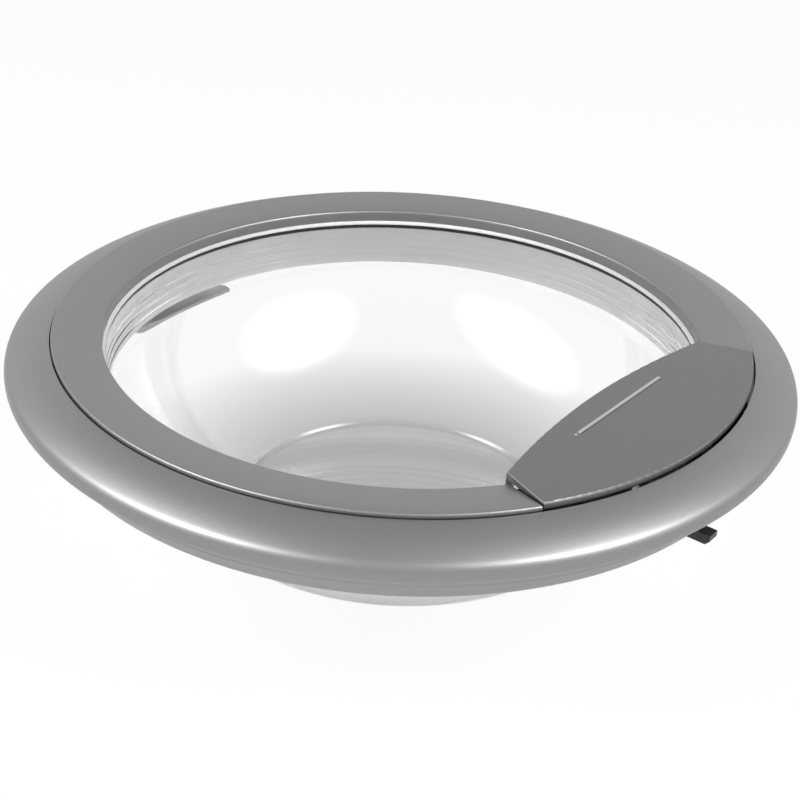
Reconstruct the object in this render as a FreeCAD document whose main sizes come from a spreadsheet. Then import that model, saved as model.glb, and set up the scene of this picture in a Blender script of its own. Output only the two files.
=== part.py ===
"""Porthole door of a front-loading washing machine, lying face up on the foot of its glass bowl.

The door's axis is Z and the foot of the bowl is at zero. The handle and its latch are on the +X side,
the hinge is on the -X side and turns about Y.
"""
import FreeCAD, Part
import math
import os
import re
import Sketcher
from FreeCAD import Placement, Rotation, Vector

# Driving sizes in millimetres, angles in degrees
SIZES = [
    ("face_height", 110.0, "highest edge of the trim ring above the foot of the bowl"),
    ("opening_radius", 148.5, "porthole opening"),
    ("trim_width", 24.0, "trim ring from the opening to its outer edge"),
    ("trim_dish", 2.7, "fall of the trim ring from its outer to its inner edge"),
    ("trim_wall", 2.4, "wall of the trim ring"),
    ("trim_depth", 6.5, "trim ring from its highest edge to its seat"),
    ("trim_edge_round", 1.0, "round on the outer edge of the trim ring"),
    ("trim_lip_round", 1.4, "round on the inner edge of the trim ring"),
    ("step_gap", 0.7, "gap round the trim ring"),
    ("step_drop", 2.2, "rim's shoulder below the trim ring's edge"),
    ("rim_width", 22.5, "rim outside the trim ring"),
    ("rim_wall", 2.6, "wall of the rim"),
    ("shoulder_wall", 3.25, "height of the rim's wall under its shoulder"),
    ("crown_radius", 51.5, "curve of the rim's face"),
    ("roll_radius", 6.2, "round of the rolled edge"),
    ("roll_depth", 14.6, "widest point of the rim below the face"),
    ("roll_start", 58.0, "angle where the rolled edge leaves the face"),
    ("roll_end", 60.0, "angle where the rolled edge ends underneath"),
    ("crease", 2.0, "step from the rolled edge in to the skirt"),
    ("skirt_draft", 2.1, "how far the skirt draws in"),
    ("skirt_depth", 24.8, "lower edge of the skirt below the face"),
    ("ledge_wall", 2.5, "ledge that carries the trim ring and clamps the glass"),
    ("glass_wall", 4.5, "thickness of the glass"),
    ("glass_reveal", 1.5, "how far the glass stands inside the opening"),
    ("flange_reach", 10.5, "glass flange outside the opening"),
    ("flange_thickness", 5.0, "thickness of the glass flange"),
    ("neck_depth", 38.0, "end of the glass neck below the face"),
    ("bowl_arc", 140.0, "curve of the bowl's wall"),
    ("foot_radius", 87.5, "foot of the bowl"),
    ("foot_round", 14.0, "round at the foot of the bowl"),
    ("foot_slope", 27.5, "slope of the bowl's wall at its foot"),
    ("ridge_count", 3, "fine rings pressed into the glass neck"),
    ("ridge_pitch", 5.0, "spacing of those rings"),
    ("ridge_depth", 0.6, "depth of those rings"),
    ("ridge_drop", 6.0, "first ring below the flange"),
    ("glass_gap", 0.5, "gap between the glass neck and the frame"),
    ("frame_wall", 2.5, "wall of the rear frame"),
    ("frame_depth", 36.2, "back of the rear frame below the face"),
    ("frame_draft", 4.5, "how far the frame's outer wall draws in"),
    ("frame_round", 1.5, "corner at the back of the frame"),
    ("frame_gap", 1.2, "gap between the skirt and the frame's tongue"),
    ("tongue_rise", 5.0, "tongue of the frame inside the skirt"),
    ("seat_width", 6.0, "seat of the glass flange on the frame"),
    ("boss_reach", 19.5, "circle of the frame screws outside the opening"),
    ("boss_first", 52.0, "angle of the first frame screw from the handle"),
    ("boss_count", 8, "number of frame screws"),
    ("boss_radius", 4.8, "screw boss on the rim"),
    ("boss_depth", 26.0, "meeting face of the bosses below the face"),
    ("frame_boss_radius", 6.0, "screw boss on the frame"),
    ("screw_radius", 2.0, "shank of the screws"),
    ("screw_head_radius", 3.8, "head of the screws"),
    ("screw_head_height", 2.4, "height of a screw head"),
    ("screw_length", 16.0, "shank length of a frame screw"),
    ("screw_clearance", 0.3, "clearance hole round a screw"),
    ("screw_grip", 0.05, "room for the thread in a screw boss"),
    ("head_recess", 3.4, "depth of the recess for a screw head"),
    ("leaf_overhang", 36.8, "handle's inner edge inside the opening, at its middle"),
    ("leaf_bow", 8.8, "bow of the handle's inner edge"),
    ("leaf_corner_y", 82.5, "inner corner of the handle along Y"),
    ("leaf_splay", 20.0, "angle of the handle's ends"),
    ("leaf_gap", 1.3, "gap between the handle and the rim's step"),
    ("leaf_side_gap", 0.8, "gap between the handle's ends and the trim ring"),
    ("leaf_rise", 1.2, "handle above the trim ring's edge"),
    ("leaf_thickness", 3.0, "plate of the handle"),
    ("leaf_round", 0.9, "round on the handle's upper edges"),
    ("lip_depth", 4.2, "grip lip under the handle's inner edge"),
    ("lip_wall", 3.2, "wall of the grip lip"),
    ("mark_length", 70.0, "raised mark on the handle"),
    ("mark_width", 1.6, "width of the mark"),
    ("mark_rise", 0.4, "height of the mark"),
    ("mark_inset", 14.0, "mark from the handle's inner edge"),
    ("dot_gap", 2.4, "from the end of the mark to the dot"),
    ("handle_pin_reach", 12.5, "handle pin outside the opening"),
    ("handle_pin_drop", 6.0, "handle pin below the face"),
    ("handle_pin_radius", 2.0, "handle pin"),
    ("pin_press", 0.02, "clearance of a pin in its fixed ears"),
    ("pin_running", 0.05, "running clearance on a pin"),
    ("lug_radius", 3.8, "ears and lugs round the handle pin"),
    ("lug_inner", 40.0, "inner face of a handle lug"),
    ("lug_width", 6.0, "width of a handle lug"),
    ("ear_gap", 0.5, "gap between lug and ear"),
    ("ear_width", 5.0, "width of an ear on the rim"),
    ("well_reach", 5.0, "well under the handle outside the opening"),
    ("finger_inset", 1.5, "push finger inside the trim ring's outer edge"),
    ("finger_thickness", 4.0, "push finger along X"),
    ("finger_width", 9.0, "push finger along Y"),
    ("finger_depth", 20.0, "end of the push finger below the face"),
    ("wire_radius", 0.5, "spring wire"),
    ("handle_spring_turns", 3, "turns of the handle spring"),
    ("hook_spring_turns", 2, "turns of the hook spring"),
    ("spring_pitch", 0.95, "pitch of a spring, just under its wire so that the turns touch"),
    ("leg_taper", 0.9, "legs of a spring as a share of its wire"),
    ("spring_room", 0.4, "gap between a pin and its spring"),
    ("spring_leg", 4.0, "length of a spring's legs"),
    ("hook_pin_reach", 11.5, "hook pin outside the opening"),
    ("hook_pin_drop", 26.5, "hook pin below the face"),
    ("hook_pin_radius", 1.5, "hook pin"),
    ("hook_hub", 3.8, "hub of the hook"),
    ("hook_width", 7.0, "hook along Y"),
    ("hook_arm", 4.0, "thickness of the hook's arm"),
    ("hook_arm_length", 11.5, "hook's arm from its pin"),
    ("hook_play", 0.3, "gap between the push finger and the hook's arm"),
    ("hook_shank_offset", 4.0, "inner side of the hook's shank from its pin"),
    ("hook_shank_wall", 5.0, "thickness of the hook's shank"),
    ("hook_tip_length", 21.0, "tip of the hook's barb from its pin"),
    ("hook_tip_drop", 49.0, "end of the hook below the face"),
    ("hook_barb", 5.0, "height of the barb"),
    ("hook_nose", 2.0, "blunt nose of the barb"),
    ("hook_ear_gap", 4.5, "room beside the hook for its spring"),
    ("hook_ear_width", 3.5, "ears that hold the hook pin"),
    ("slot_back", 2.5, "hook's slot inside the hook pin"),
    ("slot_length", 14.5, "length of the hook's slot"),
    ("slot_side_gap", 0.8, "gap beside the hook in its slot"),
    ("guide_thickness", 2.5, "guide plate round the hook"),
    ("guide_margin", 4.5, "guide plate round its slot"),
    ("guide_length", 44.0, "guide plate along Y"),
    ("guide_screw_spacing", 32.0, "spacing of the guide plate's screws"),
    ("guide_screw_tail", 2.0, "guide screw past the frame's floor"),
    ("hinge_pin_inset", 7.0, "hinge pin inside the rim's edge"),
    ("hinge_pin_drop", 31.5, "hinge pin below the face"),
    ("hinge_pin_radius", 2.5, "hinge pin"),
    ("knuckle_radius", 5.2, "knuckles of the hinge"),
    ("knuckle_half", 13.0, "half the cabinet leaf's knuckle"),
    ("knuckle_end", 26.0, "outer end of the door leaf's knuckles"),
    ("bush_wall", 1.1, "wall of the hinge bushes"),
    ("bush_flange", 0.8, "flange of the hinge bushes"),
    ("bush_length", 8.0, "length of the hinge bushes"),
    ("bush_gap", 0.3, "gap between bush flange and door leaf"),
    ("hinge_plate", 2.6, "plate of the hinge leaves"),
    ("door_leaf_reach", 24.8, "inner end of the door leaf from the hinge pin's knuckle"),
    ("door_leaf_half", 32.0, "half width of the door leaf"),
    ("cabinet_leaf_reach", 27.0, "inner end of the cabinet leaf from the hinge pin"),
    ("cabinet_leaf_half", 38.0, "half width of the cabinet leaf"),
    ("cabinet_leaf_depth", 50.0, "cabinet leaf's mounting face below the door's face"),
    ("cabinet_leaf_waist", 8.0, "wide part of the cabinet leaf from the hinge pin"),
    ("cabinet_hole_reach", 17.0, "cabinet bolt holes from the hinge pin"),
    ("cabinet_hole_spacing", 56.0, "spacing of the cabinet bolt holes"),
    ("cabinet_hole_radius", 2.65, "cabinet bolt holes"),
    ("hinge_screw_reach", 17.5, "hinge screws outside the opening"),
    ("hinge_screw_spacing", 44.0, "spacing of the hinge screws"),
    ("backing_thickness", 2.0, "backing plate"),
    ("backing_half_length", 30.0, "half length of the backing plate"),
    ("backing_half_width", 6.0, "half width of the backing plate"),
    ("hinge_screw_tail", 2.5, "hinge screw past the backing plate"),
]
# Places that follow from those sizes
PLACES = [
    ("trim_radius", "opening_radius + trim_width", "outer edge of the trim ring"),
    ("rim_radius", "trim_radius + rim_width", "widest radius of the rolled rim"),
    ("flange_radius", "opening_radius + flange_reach", "edge of the glass flange"),
    ("boss_circle", "opening_radius + boss_reach", "circle of the frame screws"),
    ("leaf_reach", "opening_radius - leaf_overhang", "inner edge of the handle at its middle"),
    ("leaf_corner_x", "leaf_reach + leaf_bow", "inner corner of the handle along X"),
    ("mark_place", "leaf_reach + mark_inset", "mark from the door's axis"),
    ("handle_pin_x", "opening_radius + handle_pin_reach", "handle pin from the door's axis"),
    ("well_inner", "opening_radius + well_reach", "inner side of the well under the handle"),
    ("finger_outer", "trim_radius - finger_inset", "outer side of the handle's push finger"),
    ("hook_pin_x", "opening_radius + hook_pin_reach", "hook pin from the door's axis"),
    ("hook_arm_reach", "hook_pin_x + hook_arm_length", "end of the hook's arm"),
    ("hook_shank", "hook_pin_x + hook_shank_offset", "inner side of the hook's shank at the frame"),
    ("hook_tip_x", "hook_pin_x + hook_tip_length", "tip of the hook's barb"),
    ("slot_inner", "hook_pin_x - slot_back", "inner end of the hook's slot"),
    ("slot_outer", "slot_inner + slot_length", "outer end of the hook's slot"),
    ("hinge_pin_x", "rim_radius - hinge_pin_inset", "hinge pin from the door's axis"),
    ("door_leaf_inner", "hinge_pin_x - knuckle_radius - door_leaf_reach", "inner end of the door leaf"),
    ("cabinet_leaf_inner", "hinge_pin_x - cabinet_leaf_reach", "inner end of the cabinet leaf"),
    ("cabinet_leaf_outer", "hinge_pin_x - cabinet_leaf_waist", "end of the wide part of the cabinet leaf"),
    ("cabinet_hole_x", "hinge_pin_x - cabinet_hole_reach", "cabinet bolt holes from the door's axis"),
    ("hinge_screw_x", "opening_radius + hinge_screw_reach", "hinge screws from the door's axis"),
]
NAMES = {alias for alias, number, meaning in SIZES + PLACES}

doc = FreeCAD.newDocument("washer_door")
sheet = doc.addObject("Spreadsheet::Sheet", "sizes")
for row, (alias, number, meaning) in enumerate(SIZES + PLACES, start=1):
    sheet.set(f"A{row}", meaning)
    sheet.setAlias(f"B{row}", alias)
    sheet.set(f"B{row}", f"={number}")
doc.recompute()

sub_parts = []


def bind(text):
    """A formula in size names, as a reference to the sheet's cells."""
    return re.sub(r"[a-z_]+", lambda word: f"sizes.{word[0]}" if word[0] in NAMES else word[0], text)


def value(text):
    """The number that a formula in size names gives now."""
    return float(sheet.evalExpression(bind(text)))


# Formulas that several pieces share
STEP_RADIUS = "(trim_radius + step_gap)"
SEAT_LEVEL = "(face_height - trim_depth)"
FLANGE_TOP = "(face_height - trim_depth - ledge_wall)"
FLANGE_BOTTOM = "(face_height - trim_depth - ledge_wall - flange_thickness)"
NECK_INNER = "(opening_radius - glass_reveal)"
NECK_OUTER = "(opening_radius - glass_reveal + glass_wall)"
NECK_LEVEL = "(face_height - neck_depth)"
ROLL_X = "(rim_radius - roll_radius)"
ROLL_Z = "(face_height - roll_depth)"
SKIRT_TOP_X = f"({ROLL_X} + roll_radius * cos(roll_end) - crease)"
SKIRT_TOP_Z = f"({ROLL_Z} - roll_radius * sin(roll_end))"
SKIRT_X = f"({SKIRT_TOP_X} - skirt_draft)"
SKIRT_Z = "(face_height - skirt_depth)"
FRAME_X = f"({SKIRT_X} - rim_wall - frame_gap)"
FRAME_BACK = "(face_height - frame_depth)"
FRAME_FLOOR = "(face_height - frame_depth + frame_wall)"
FRAME_INNER = f"({NECK_OUTER} + glass_gap)"
BOSS_LEVEL = "(face_height - boss_depth)"
BOSS_X = "boss_circle * cos(boss_first)"
BOSS_Y = "boss_circle * sin(boss_first)"
BOSS_SWEEP = "360 - 2 * boss_first"
LEAF_RADIUS = f"({STEP_RADIUS} - leaf_gap)"
LEAF_ALONG = "(leaf_corner_x * cos(leaf_splay) + leaf_corner_y * sin(leaf_splay))"
LEAF_RUN = f"(sqrt({LEAF_ALONG}^2 + {LEAF_RADIUS}^2 - leaf_corner_x^2 - leaf_corner_y^2) - {LEAF_ALONG})"
LEAF_END_X = f"(leaf_corner_x + {LEAF_RUN} * cos(leaf_splay))"
LEAF_END_Y = f"(leaf_corner_y + {LEAF_RUN} * sin(leaf_splay))"
LEAF_SAG = "(leaf_corner_x - leaf_reach)"
LEAF_ARC = f"((leaf_corner_y^2 + {LEAF_SAG}^2) / (2 * {LEAF_SAG}))"
LEAF_TOP = "(face_height + leaf_rise)"
LEAF_UNDER = "(face_height + leaf_rise - leaf_thickness)"
HANDLE_PIN_Z = "(face_height - handle_pin_drop)"
LUG_OUTER = "(lug_inner + lug_width)"
EAR_INNER = f"({LUG_OUTER} + ear_gap)"
EAR_OUTER = f"({EAR_INNER} + ear_width)"
HOOK_PIN_Z = "(face_height - hook_pin_drop)"
HOOK_HALF = "(hook_width / 2)"
HOOK_EAR_INNER = f"({HOOK_HALF} + hook_ear_gap)"
HOOK_EAR_OUTER = f"({HOOK_EAR_INNER} + hook_ear_width)"
HOOK_SPRING_Y = f"({HOOK_HALF} + spring_room + wire_radius)"
SLOT_HALF = f"({HOOK_HALF} + slot_side_gap)"
HOOK_SLOT = [("slot_inner", f"-{SLOT_HALF}"), ("slot_outer", SLOT_HALF)]
GUIDE_MIDDLE = "((slot_inner + slot_outer) / 2)"
GUIDE_SCREWS = [(GUIDE_MIDDLE, "guide_screw_spacing / 2"), (GUIDE_MIDDLE, "-guide_screw_spacing / 2")]
HINGE_SCREWS = [("hinge_screw_x", "hinge_screw_spacing / 2"), ("hinge_screw_x", "-hinge_screw_spacing / 2")]
HINGE_PIN_Z = "(face_height - hinge_pin_drop)"
DOOR_KNUCKLE = "(knuckle_half + bush_flange + bush_gap)"
CABINET_BACK = "(face_height - cabinet_leaf_depth)"
BUSH_OUTER = "(hinge_pin_radius + pin_running + bush_wall)"

# Turns of a spring about its pin, in degrees
LEVEL_LEGS = 0
UPRIGHT_LEGS = 90


def new_body(label):
    """An empty body, listed as a sub-part of the door."""
    body = doc.addObject("PartDesign::Body", label)
    body.Label = label
    body.AllowCompound = True
    sub_parts.append(body)
    return body


def origin_feature(body, role):
    """A plane or axis of the body's own origin."""
    return next(item for item in body.Origin.OriginFeatures if item.Role == role)


def new_sketch(body, name, plane, lift="0"):
    """An empty sketch on a plane of the body's origin, lifted along the plane's normal."""
    sketch = body.newObject("Sketcher::SketchObject", name)
    sketch.AttachmentSupport = [(origin_feature(body, plane), "")]
    sketch.MapMode = "FlatFace"
    sketch.setExpression("AttachmentOffset.Base.z", bind(lift))
    return sketch


def hold(sketch, kind, targets, formula):
    """A dimension of the sketch, bound to a formula in size names."""
    index = sketch.addConstraint(Sketcher.Constraint(kind, *targets, value(formula)))
    sketch.setExpression(f"Constraints[{index}]", bind(formula))


def arc_between(start, end, radius):
    """The arc under 180 degrees from start to end; a positive radius turns left on its way."""
    chord = end - start
    middle = (start + end) * 0.5
    rise = math.sqrt(max(radius ** 2 - chord.Length ** 2 / 4, 0.0))
    left = Vector(-chord.y, chord.x, 0).normalize()
    centre = middle + left * math.copysign(rise, radius)
    circle = Part.Circle(centre, Vector(0, 0, 1), abs(radius))
    first, last = (start, end) if radius > 0 else (end, start)
    first_angle = math.atan2(first.y - centre.y, first.x - centre.x)
    last_angle = math.atan2(last.y - centre.y, last.x - centre.x)
    if last_angle < first_angle:
        last_angle += 2 * math.pi
    return Part.ArcOfCircle(circle, first_angle, last_angle)


def outline(body, name, plane, corners, lift="0"):
    """A closed outline. A corner is (across, up), or (across, up, turn, radius) where an arc leaves it."""
    sketch = new_sketch(body, name, plane, lift)
    points = [Vector(value(corner[0]), value(corner[1]), 0) for corner in corners]
    ends = []
    for index, corner in enumerate(corners):
        start = points[index]
        end = points[(index + 1) % len(points)]
        if len(corner) == 2:
            edge = sketch.addGeometry(Part.LineSegment(start, end))
            ends.append((edge, 1, 2))
            continue
        turn, radius = corner[2], corner[3]
        edge = sketch.addGeometry(arc_between(start, end, turn * value(radius)))
        ends.append((edge, 1, 2) if turn > 0 else (edge, 2, 1))
    for index, corner in enumerate(corners):
        edge, first, last = ends[index]
        following, following_first, following_last = ends[(index + 1) % len(ends)]
        sketch.addConstraint(Sketcher.Constraint("Coincident", edge, last, following, following_first))
        hold(sketch, "DistanceX", (edge, first), corner[0])
        hold(sketch, "DistanceY", (edge, first), corner[1])
        if len(corner) > 2:
            hold(sketch, "Radius", (edge,), corner[3])
    return sketch


def rounds(body, name, plane, places, radius, lift="0"):
    """Circles of one radius at the given places."""
    sketch = new_sketch(body, name, plane, lift)
    for across, up in places:
        centre = Vector(value(across), value(up), 0)
        edge = sketch.addGeometry(Part.Circle(centre, Vector(0, 0, 1), value(radius)))
        hold(sketch, "DistanceX", (edge, 3), across)
        hold(sketch, "DistanceY", (edge, 3), up)
        hold(sketch, "Radius", (edge,), radius)
    return sketch


def block(body, name, plane, low, high, lift="0"):
    """A rectangle between two corners."""
    corners = [low, (high[0], low[1]), high, (low[0], high[1])]
    return outline(body, name, plane, corners, lift)


def finish_feature(body, feature, before, adds):
    """Rebuilds the body and stops if the feature changed nothing or worked the wrong way."""
    doc.recompute()
    gained = feature.Shape.Volume - before
    if (gained > 0) != adds or abs(gained) < 1e-3:
        raise RuntimeError(f"{body.Label}: {feature.Label} changes the volume by {gained:.3f}")
    return feature


def volume_now(body):
    """The body's volume so far."""
    doc.recompute()
    return body.Shape.Volume if body.Tip and not body.Shape.isNull() else 0.0


def revolve(body, sketch):
    """A full turn of the sketch about the door's axis."""
    before = volume_now(body)
    feature = body.newObject("PartDesign::Revolution", sketch.Name + "_turn")
    feature.Profile = sketch
    feature.ReferenceAxis = (sketch, ["V_Axis"])
    feature.Angle = 360
    return finish_feature(body, feature, before, True)


def pad(body, sketch, length, both_sides=False, downwards=False):
    """The sketch drawn out by a length."""
    before = volume_now(body)
    feature = body.newObject("PartDesign::Pad", sketch.Name + "_pad")
    feature.Profile = sketch
    feature.SideType = "Symmetric" if both_sides else "One side"
    feature.Reversed = downwards
    feature.setExpression("Length", bind(length))
    return finish_feature(body, feature, before, True)


def pocket(body, sketch, length=None, upwards=False):
    """A cut of the sketch's shape, right through the body where no length is given."""
    before = volume_now(body)
    feature = body.newObject("PartDesign::Pocket", sketch.Name + "_cut")
    feature.Profile = sketch
    if length is None:
        feature.SideType = "Symmetric"
        feature.Type = "ThroughAll"
    else:
        feature.Reversed = upwards
        feature.setExpression("Length", bind(length))
    return finish_feature(body, feature, before, False)


def pin_bore(body, name, x, z, radius, half_length):
    """A bore along Y, as long to each side of the door's middle plane."""
    bore = rounds(body, name, "XZ_Plane", [(x, z)], radius, f"-{half_length}")
    pocket(body, bore, f"2 * {half_length}", upwards=True)


def screw_pattern(body, features, adds):
    """Copies of the features round the door's axis, one at each frame screw."""
    before = volume_now(body)
    pattern = body.newObject("PartDesign::PolarPattern", features[-1].Name + "_ring")
    pattern.Originals = features
    pattern.Axis = (origin_feature(body, "Z_Axis"), [""])
    pattern.setExpression("Angle", bind(BOSS_SWEEP))
    pattern.setExpression("Occurrences", bind("boss_count"))
    body.Tip = pattern
    return finish_feature(body, pattern, before, adds)


def mirror(body, features):
    """The features again on the other side of the door's middle plane."""
    before = volume_now(body)
    twin = body.newObject("PartDesign::Mirrored", features[-1].Name + "_twin")
    twin.Originals = features
    twin.MirrorPlane = (origin_feature(body, "XZ_Plane"), [""])
    body.Tip = twin
    return finish_feature(body, twin, before, True)


def lug_outline(body, name, x, z, radius, base, lift):
    """A lug with a round end about a pin, standing on or hanging from a base level."""
    sweep = 1 if value(base) < value(z) else -1
    far_end = f"({z} + {sweep} * {radius})"
    corners = [
        (f"{x} - {radius}", base),
        (f"{x} + {radius}", base),
        (f"{x} + {radius}", z, sweep, radius),
        (x, far_end, sweep, radius),
        (f"{x} - {radius}", z),
    ]
    return outline(body, name, "XZ_Plane", corners, lift)


def make_glass_bowl():
    """Pressed glass bowl with a flange, a ringed neck and a flat foot."""
    body = new_body("glass_bowl")
    foot_flat = "(foot_radius - foot_round * sin(foot_slope))"
    foot_rise = "(foot_round * (1 - cos(foot_slope)))"
    inner_foot_x = "(foot_radius - glass_wall * sin(foot_slope))"
    inner_foot_z = f"({foot_rise} + glass_wall * cos(foot_slope))"
    section = outline(body, "glass_section", "XZ_Plane", [
        ("0", "0"),
        (foot_flat, "0", 1, "foot_round"),
        ("foot_radius", foot_rise, 1, "bowl_arc"),
        (NECK_OUTER, NECK_LEVEL),
        (NECK_OUTER, FLANGE_BOTTOM),
        ("flange_radius", FLANGE_BOTTOM),
        ("flange_radius", FLANGE_TOP),
        (NECK_INNER, FLANGE_TOP),
        (NECK_INNER, NECK_LEVEL, -1, "(bowl_arc - glass_wall)"),
        (inner_foot_x, inner_foot_z, -1, "(foot_round - glass_wall)"),
        (foot_flat, "glass_wall"),
        ("0", "glass_wall"),
    ])
    revolve(body, section)
    ridge_z = f"({FLANGE_BOTTOM} - ridge_drop)"
    ridge = outline(body, "ridge_section", "XZ_Plane", [
        (f"{NECK_INNER} - ridge_depth", f"{ridge_z} - ridge_depth"),
        (f"{NECK_INNER} + ridge_depth", ridge_z),
        (f"{NECK_INNER} - ridge_depth", f"{ridge_z} + ridge_depth"),
    ])
    before = volume_now(body)
    groove = body.newObject("PartDesign::Groove", "ridge_groove")
    groove.Profile = ridge
    groove.ReferenceAxis = (ridge, ["V_Axis"])
    groove.Angle = 360
    finish_feature(body, groove, before, False)
    before = volume_now(body)
    rings = body.newObject("PartDesign::LinearPattern", "ridge_rings")
    rings.Originals = [groove]
    rings.Direction = (origin_feature(body, "Z_Axis"), [""])
    rings.Reversed = True
    rings.setExpression("Length", bind("ridge_pitch * (ridge_count - 1)"))
    rings.setExpression("Occurrences", bind("ridge_count"))
    body.Tip = rings
    finish_feature(body, rings, before, False)


def make_trim_ring():
    """Raised ring round the opening, broken where the handle lies."""
    body = new_body("trim_ring")
    section = outline(body, "trim_section", "XZ_Plane", [
        ("trim_radius - trim_edge_round", "face_height"),
        ("opening_radius + trim_lip_round", "face_height - trim_dish", 1, "trim_lip_round"),
        ("opening_radius", "face_height - trim_dish - trim_lip_round"),
        ("opening_radius", SEAT_LEVEL),
        ("opening_radius + trim_wall", SEAT_LEVEL),
        ("opening_radius + trim_wall", "face_height - trim_dish - trim_wall"),
        ("trim_radius - trim_wall", "face_height - trim_wall"),
        ("trim_radius - trim_wall", SEAT_LEVEL),
        ("trim_radius", SEAT_LEVEL),
        ("trim_radius", "face_height - trim_edge_round", 1, "trim_edge_round"),
    ])
    revolve(body, section)
    side = "leaf_corner_y + leaf_side_gap / cos(leaf_splay)"
    near_x = "leaf_reach"
    near_y = f"({side} + (leaf_reach - leaf_corner_x) * tan(leaf_splay))"
    far_x = "rim_radius"
    far_y = f"({side} + (rim_radius - leaf_corner_x) * tan(leaf_splay))"
    gap = outline(body, "handle_gap", "XY_Plane", [
        (near_x, f"-{near_y}"),
        (far_x, f"-{far_y}"),
        (far_x, far_y),
        (near_x, near_y),
    ])
    pocket(body, gap)


def make_outer_rim():
    """Outer moulding: rolled edge, skirt, ledge for ring and glass, screw bosses and handle ears."""
    body = new_body("outer_rim")
    inner_roll = "(roll_radius - rim_wall)"
    inner_step = f"({STEP_RADIUS} + rim_wall)"
    roll_top_x = f"{ROLL_X} + roll_radius * cos(roll_start)"
    roll_top_z = f"{ROLL_Z} + roll_radius * sin(roll_start)"
    inner_top_x = f"{ROLL_X} + {inner_roll} * cos(roll_start)"
    inner_top_z = f"{ROLL_Z} + {inner_roll} * sin(roll_start)"
    section = outline(body, "rim_section", "XZ_Plane", [
        ("opening_radius", SEAT_LEVEL),
        ("opening_radius", FLANGE_TOP),
        (inner_step, FLANGE_TOP),
        (inner_step, "face_height - step_drop - shoulder_wall", -1, "(crown_radius - rim_wall)"),
        (inner_top_x, inner_top_z, -1, inner_roll),
        (f"{ROLL_X} + {inner_roll} * cos(roll_end)", f"{ROLL_Z} - {inner_roll} * sin(roll_end)"),
        (f"{SKIRT_TOP_X} - rim_wall", SKIRT_TOP_Z),
        (f"{SKIRT_X} - rim_wall", SKIRT_Z),
        (SKIRT_X, SKIRT_Z),
        (SKIRT_TOP_X, SKIRT_TOP_Z),
        (f"{ROLL_X} + roll_radius * cos(roll_end)", SKIRT_TOP_Z, 1, "roll_radius"),
        (roll_top_x, roll_top_z, 1, "crown_radius"),
        (STEP_RADIUS, "face_height - step_drop"),
        (STEP_RADIUS, SEAT_LEVEL),
    ])
    revolve(body, section)
    boss = pad(
        body,
        rounds(body, "boss_circle_sketch", "XY_Plane", [(BOSS_X, BOSS_Y)], "boss_radius", BOSS_LEVEL),
        f"{FLANGE_TOP} - {BOSS_LEVEL}",
    )
    screw_pattern(body, [boss], True)
    pilot_radius = "(screw_radius + screw_grip)"
    pilot = pocket(
        body,
        rounds(body, "pilot_sketch", "XY_Plane", [(BOSS_X, BOSS_Y)], pilot_radius, BOSS_LEVEL),
        "screw_length",
        upwards=True,
    )
    screw_pattern(body, [pilot], False)
    well_half = f"({LUG_OUTER} + ear_gap / 2)"
    well_corner = ("well_inner", f"-{well_half}")
    well = block(body, "well_sketch", "XY_Plane", well_corner, (LEAF_RADIUS, well_half), SEAT_LEVEL)
    pocket(body, well, "ledge_wall")
    ear_pin = ("handle_pin_x", HANDLE_PIN_Z)
    ear = lug_outline(body, "ear_sketch", *ear_pin, "lug_radius", FLANGE_TOP, f"-{EAR_OUTER}")
    mirror(body, [pad(body, ear, "ear_width")])
    pin_bore(body, "ear_bore", "handle_pin_x", HANDLE_PIN_Z, "(handle_pin_radius + pin_press)", EAR_OUTER)


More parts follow.
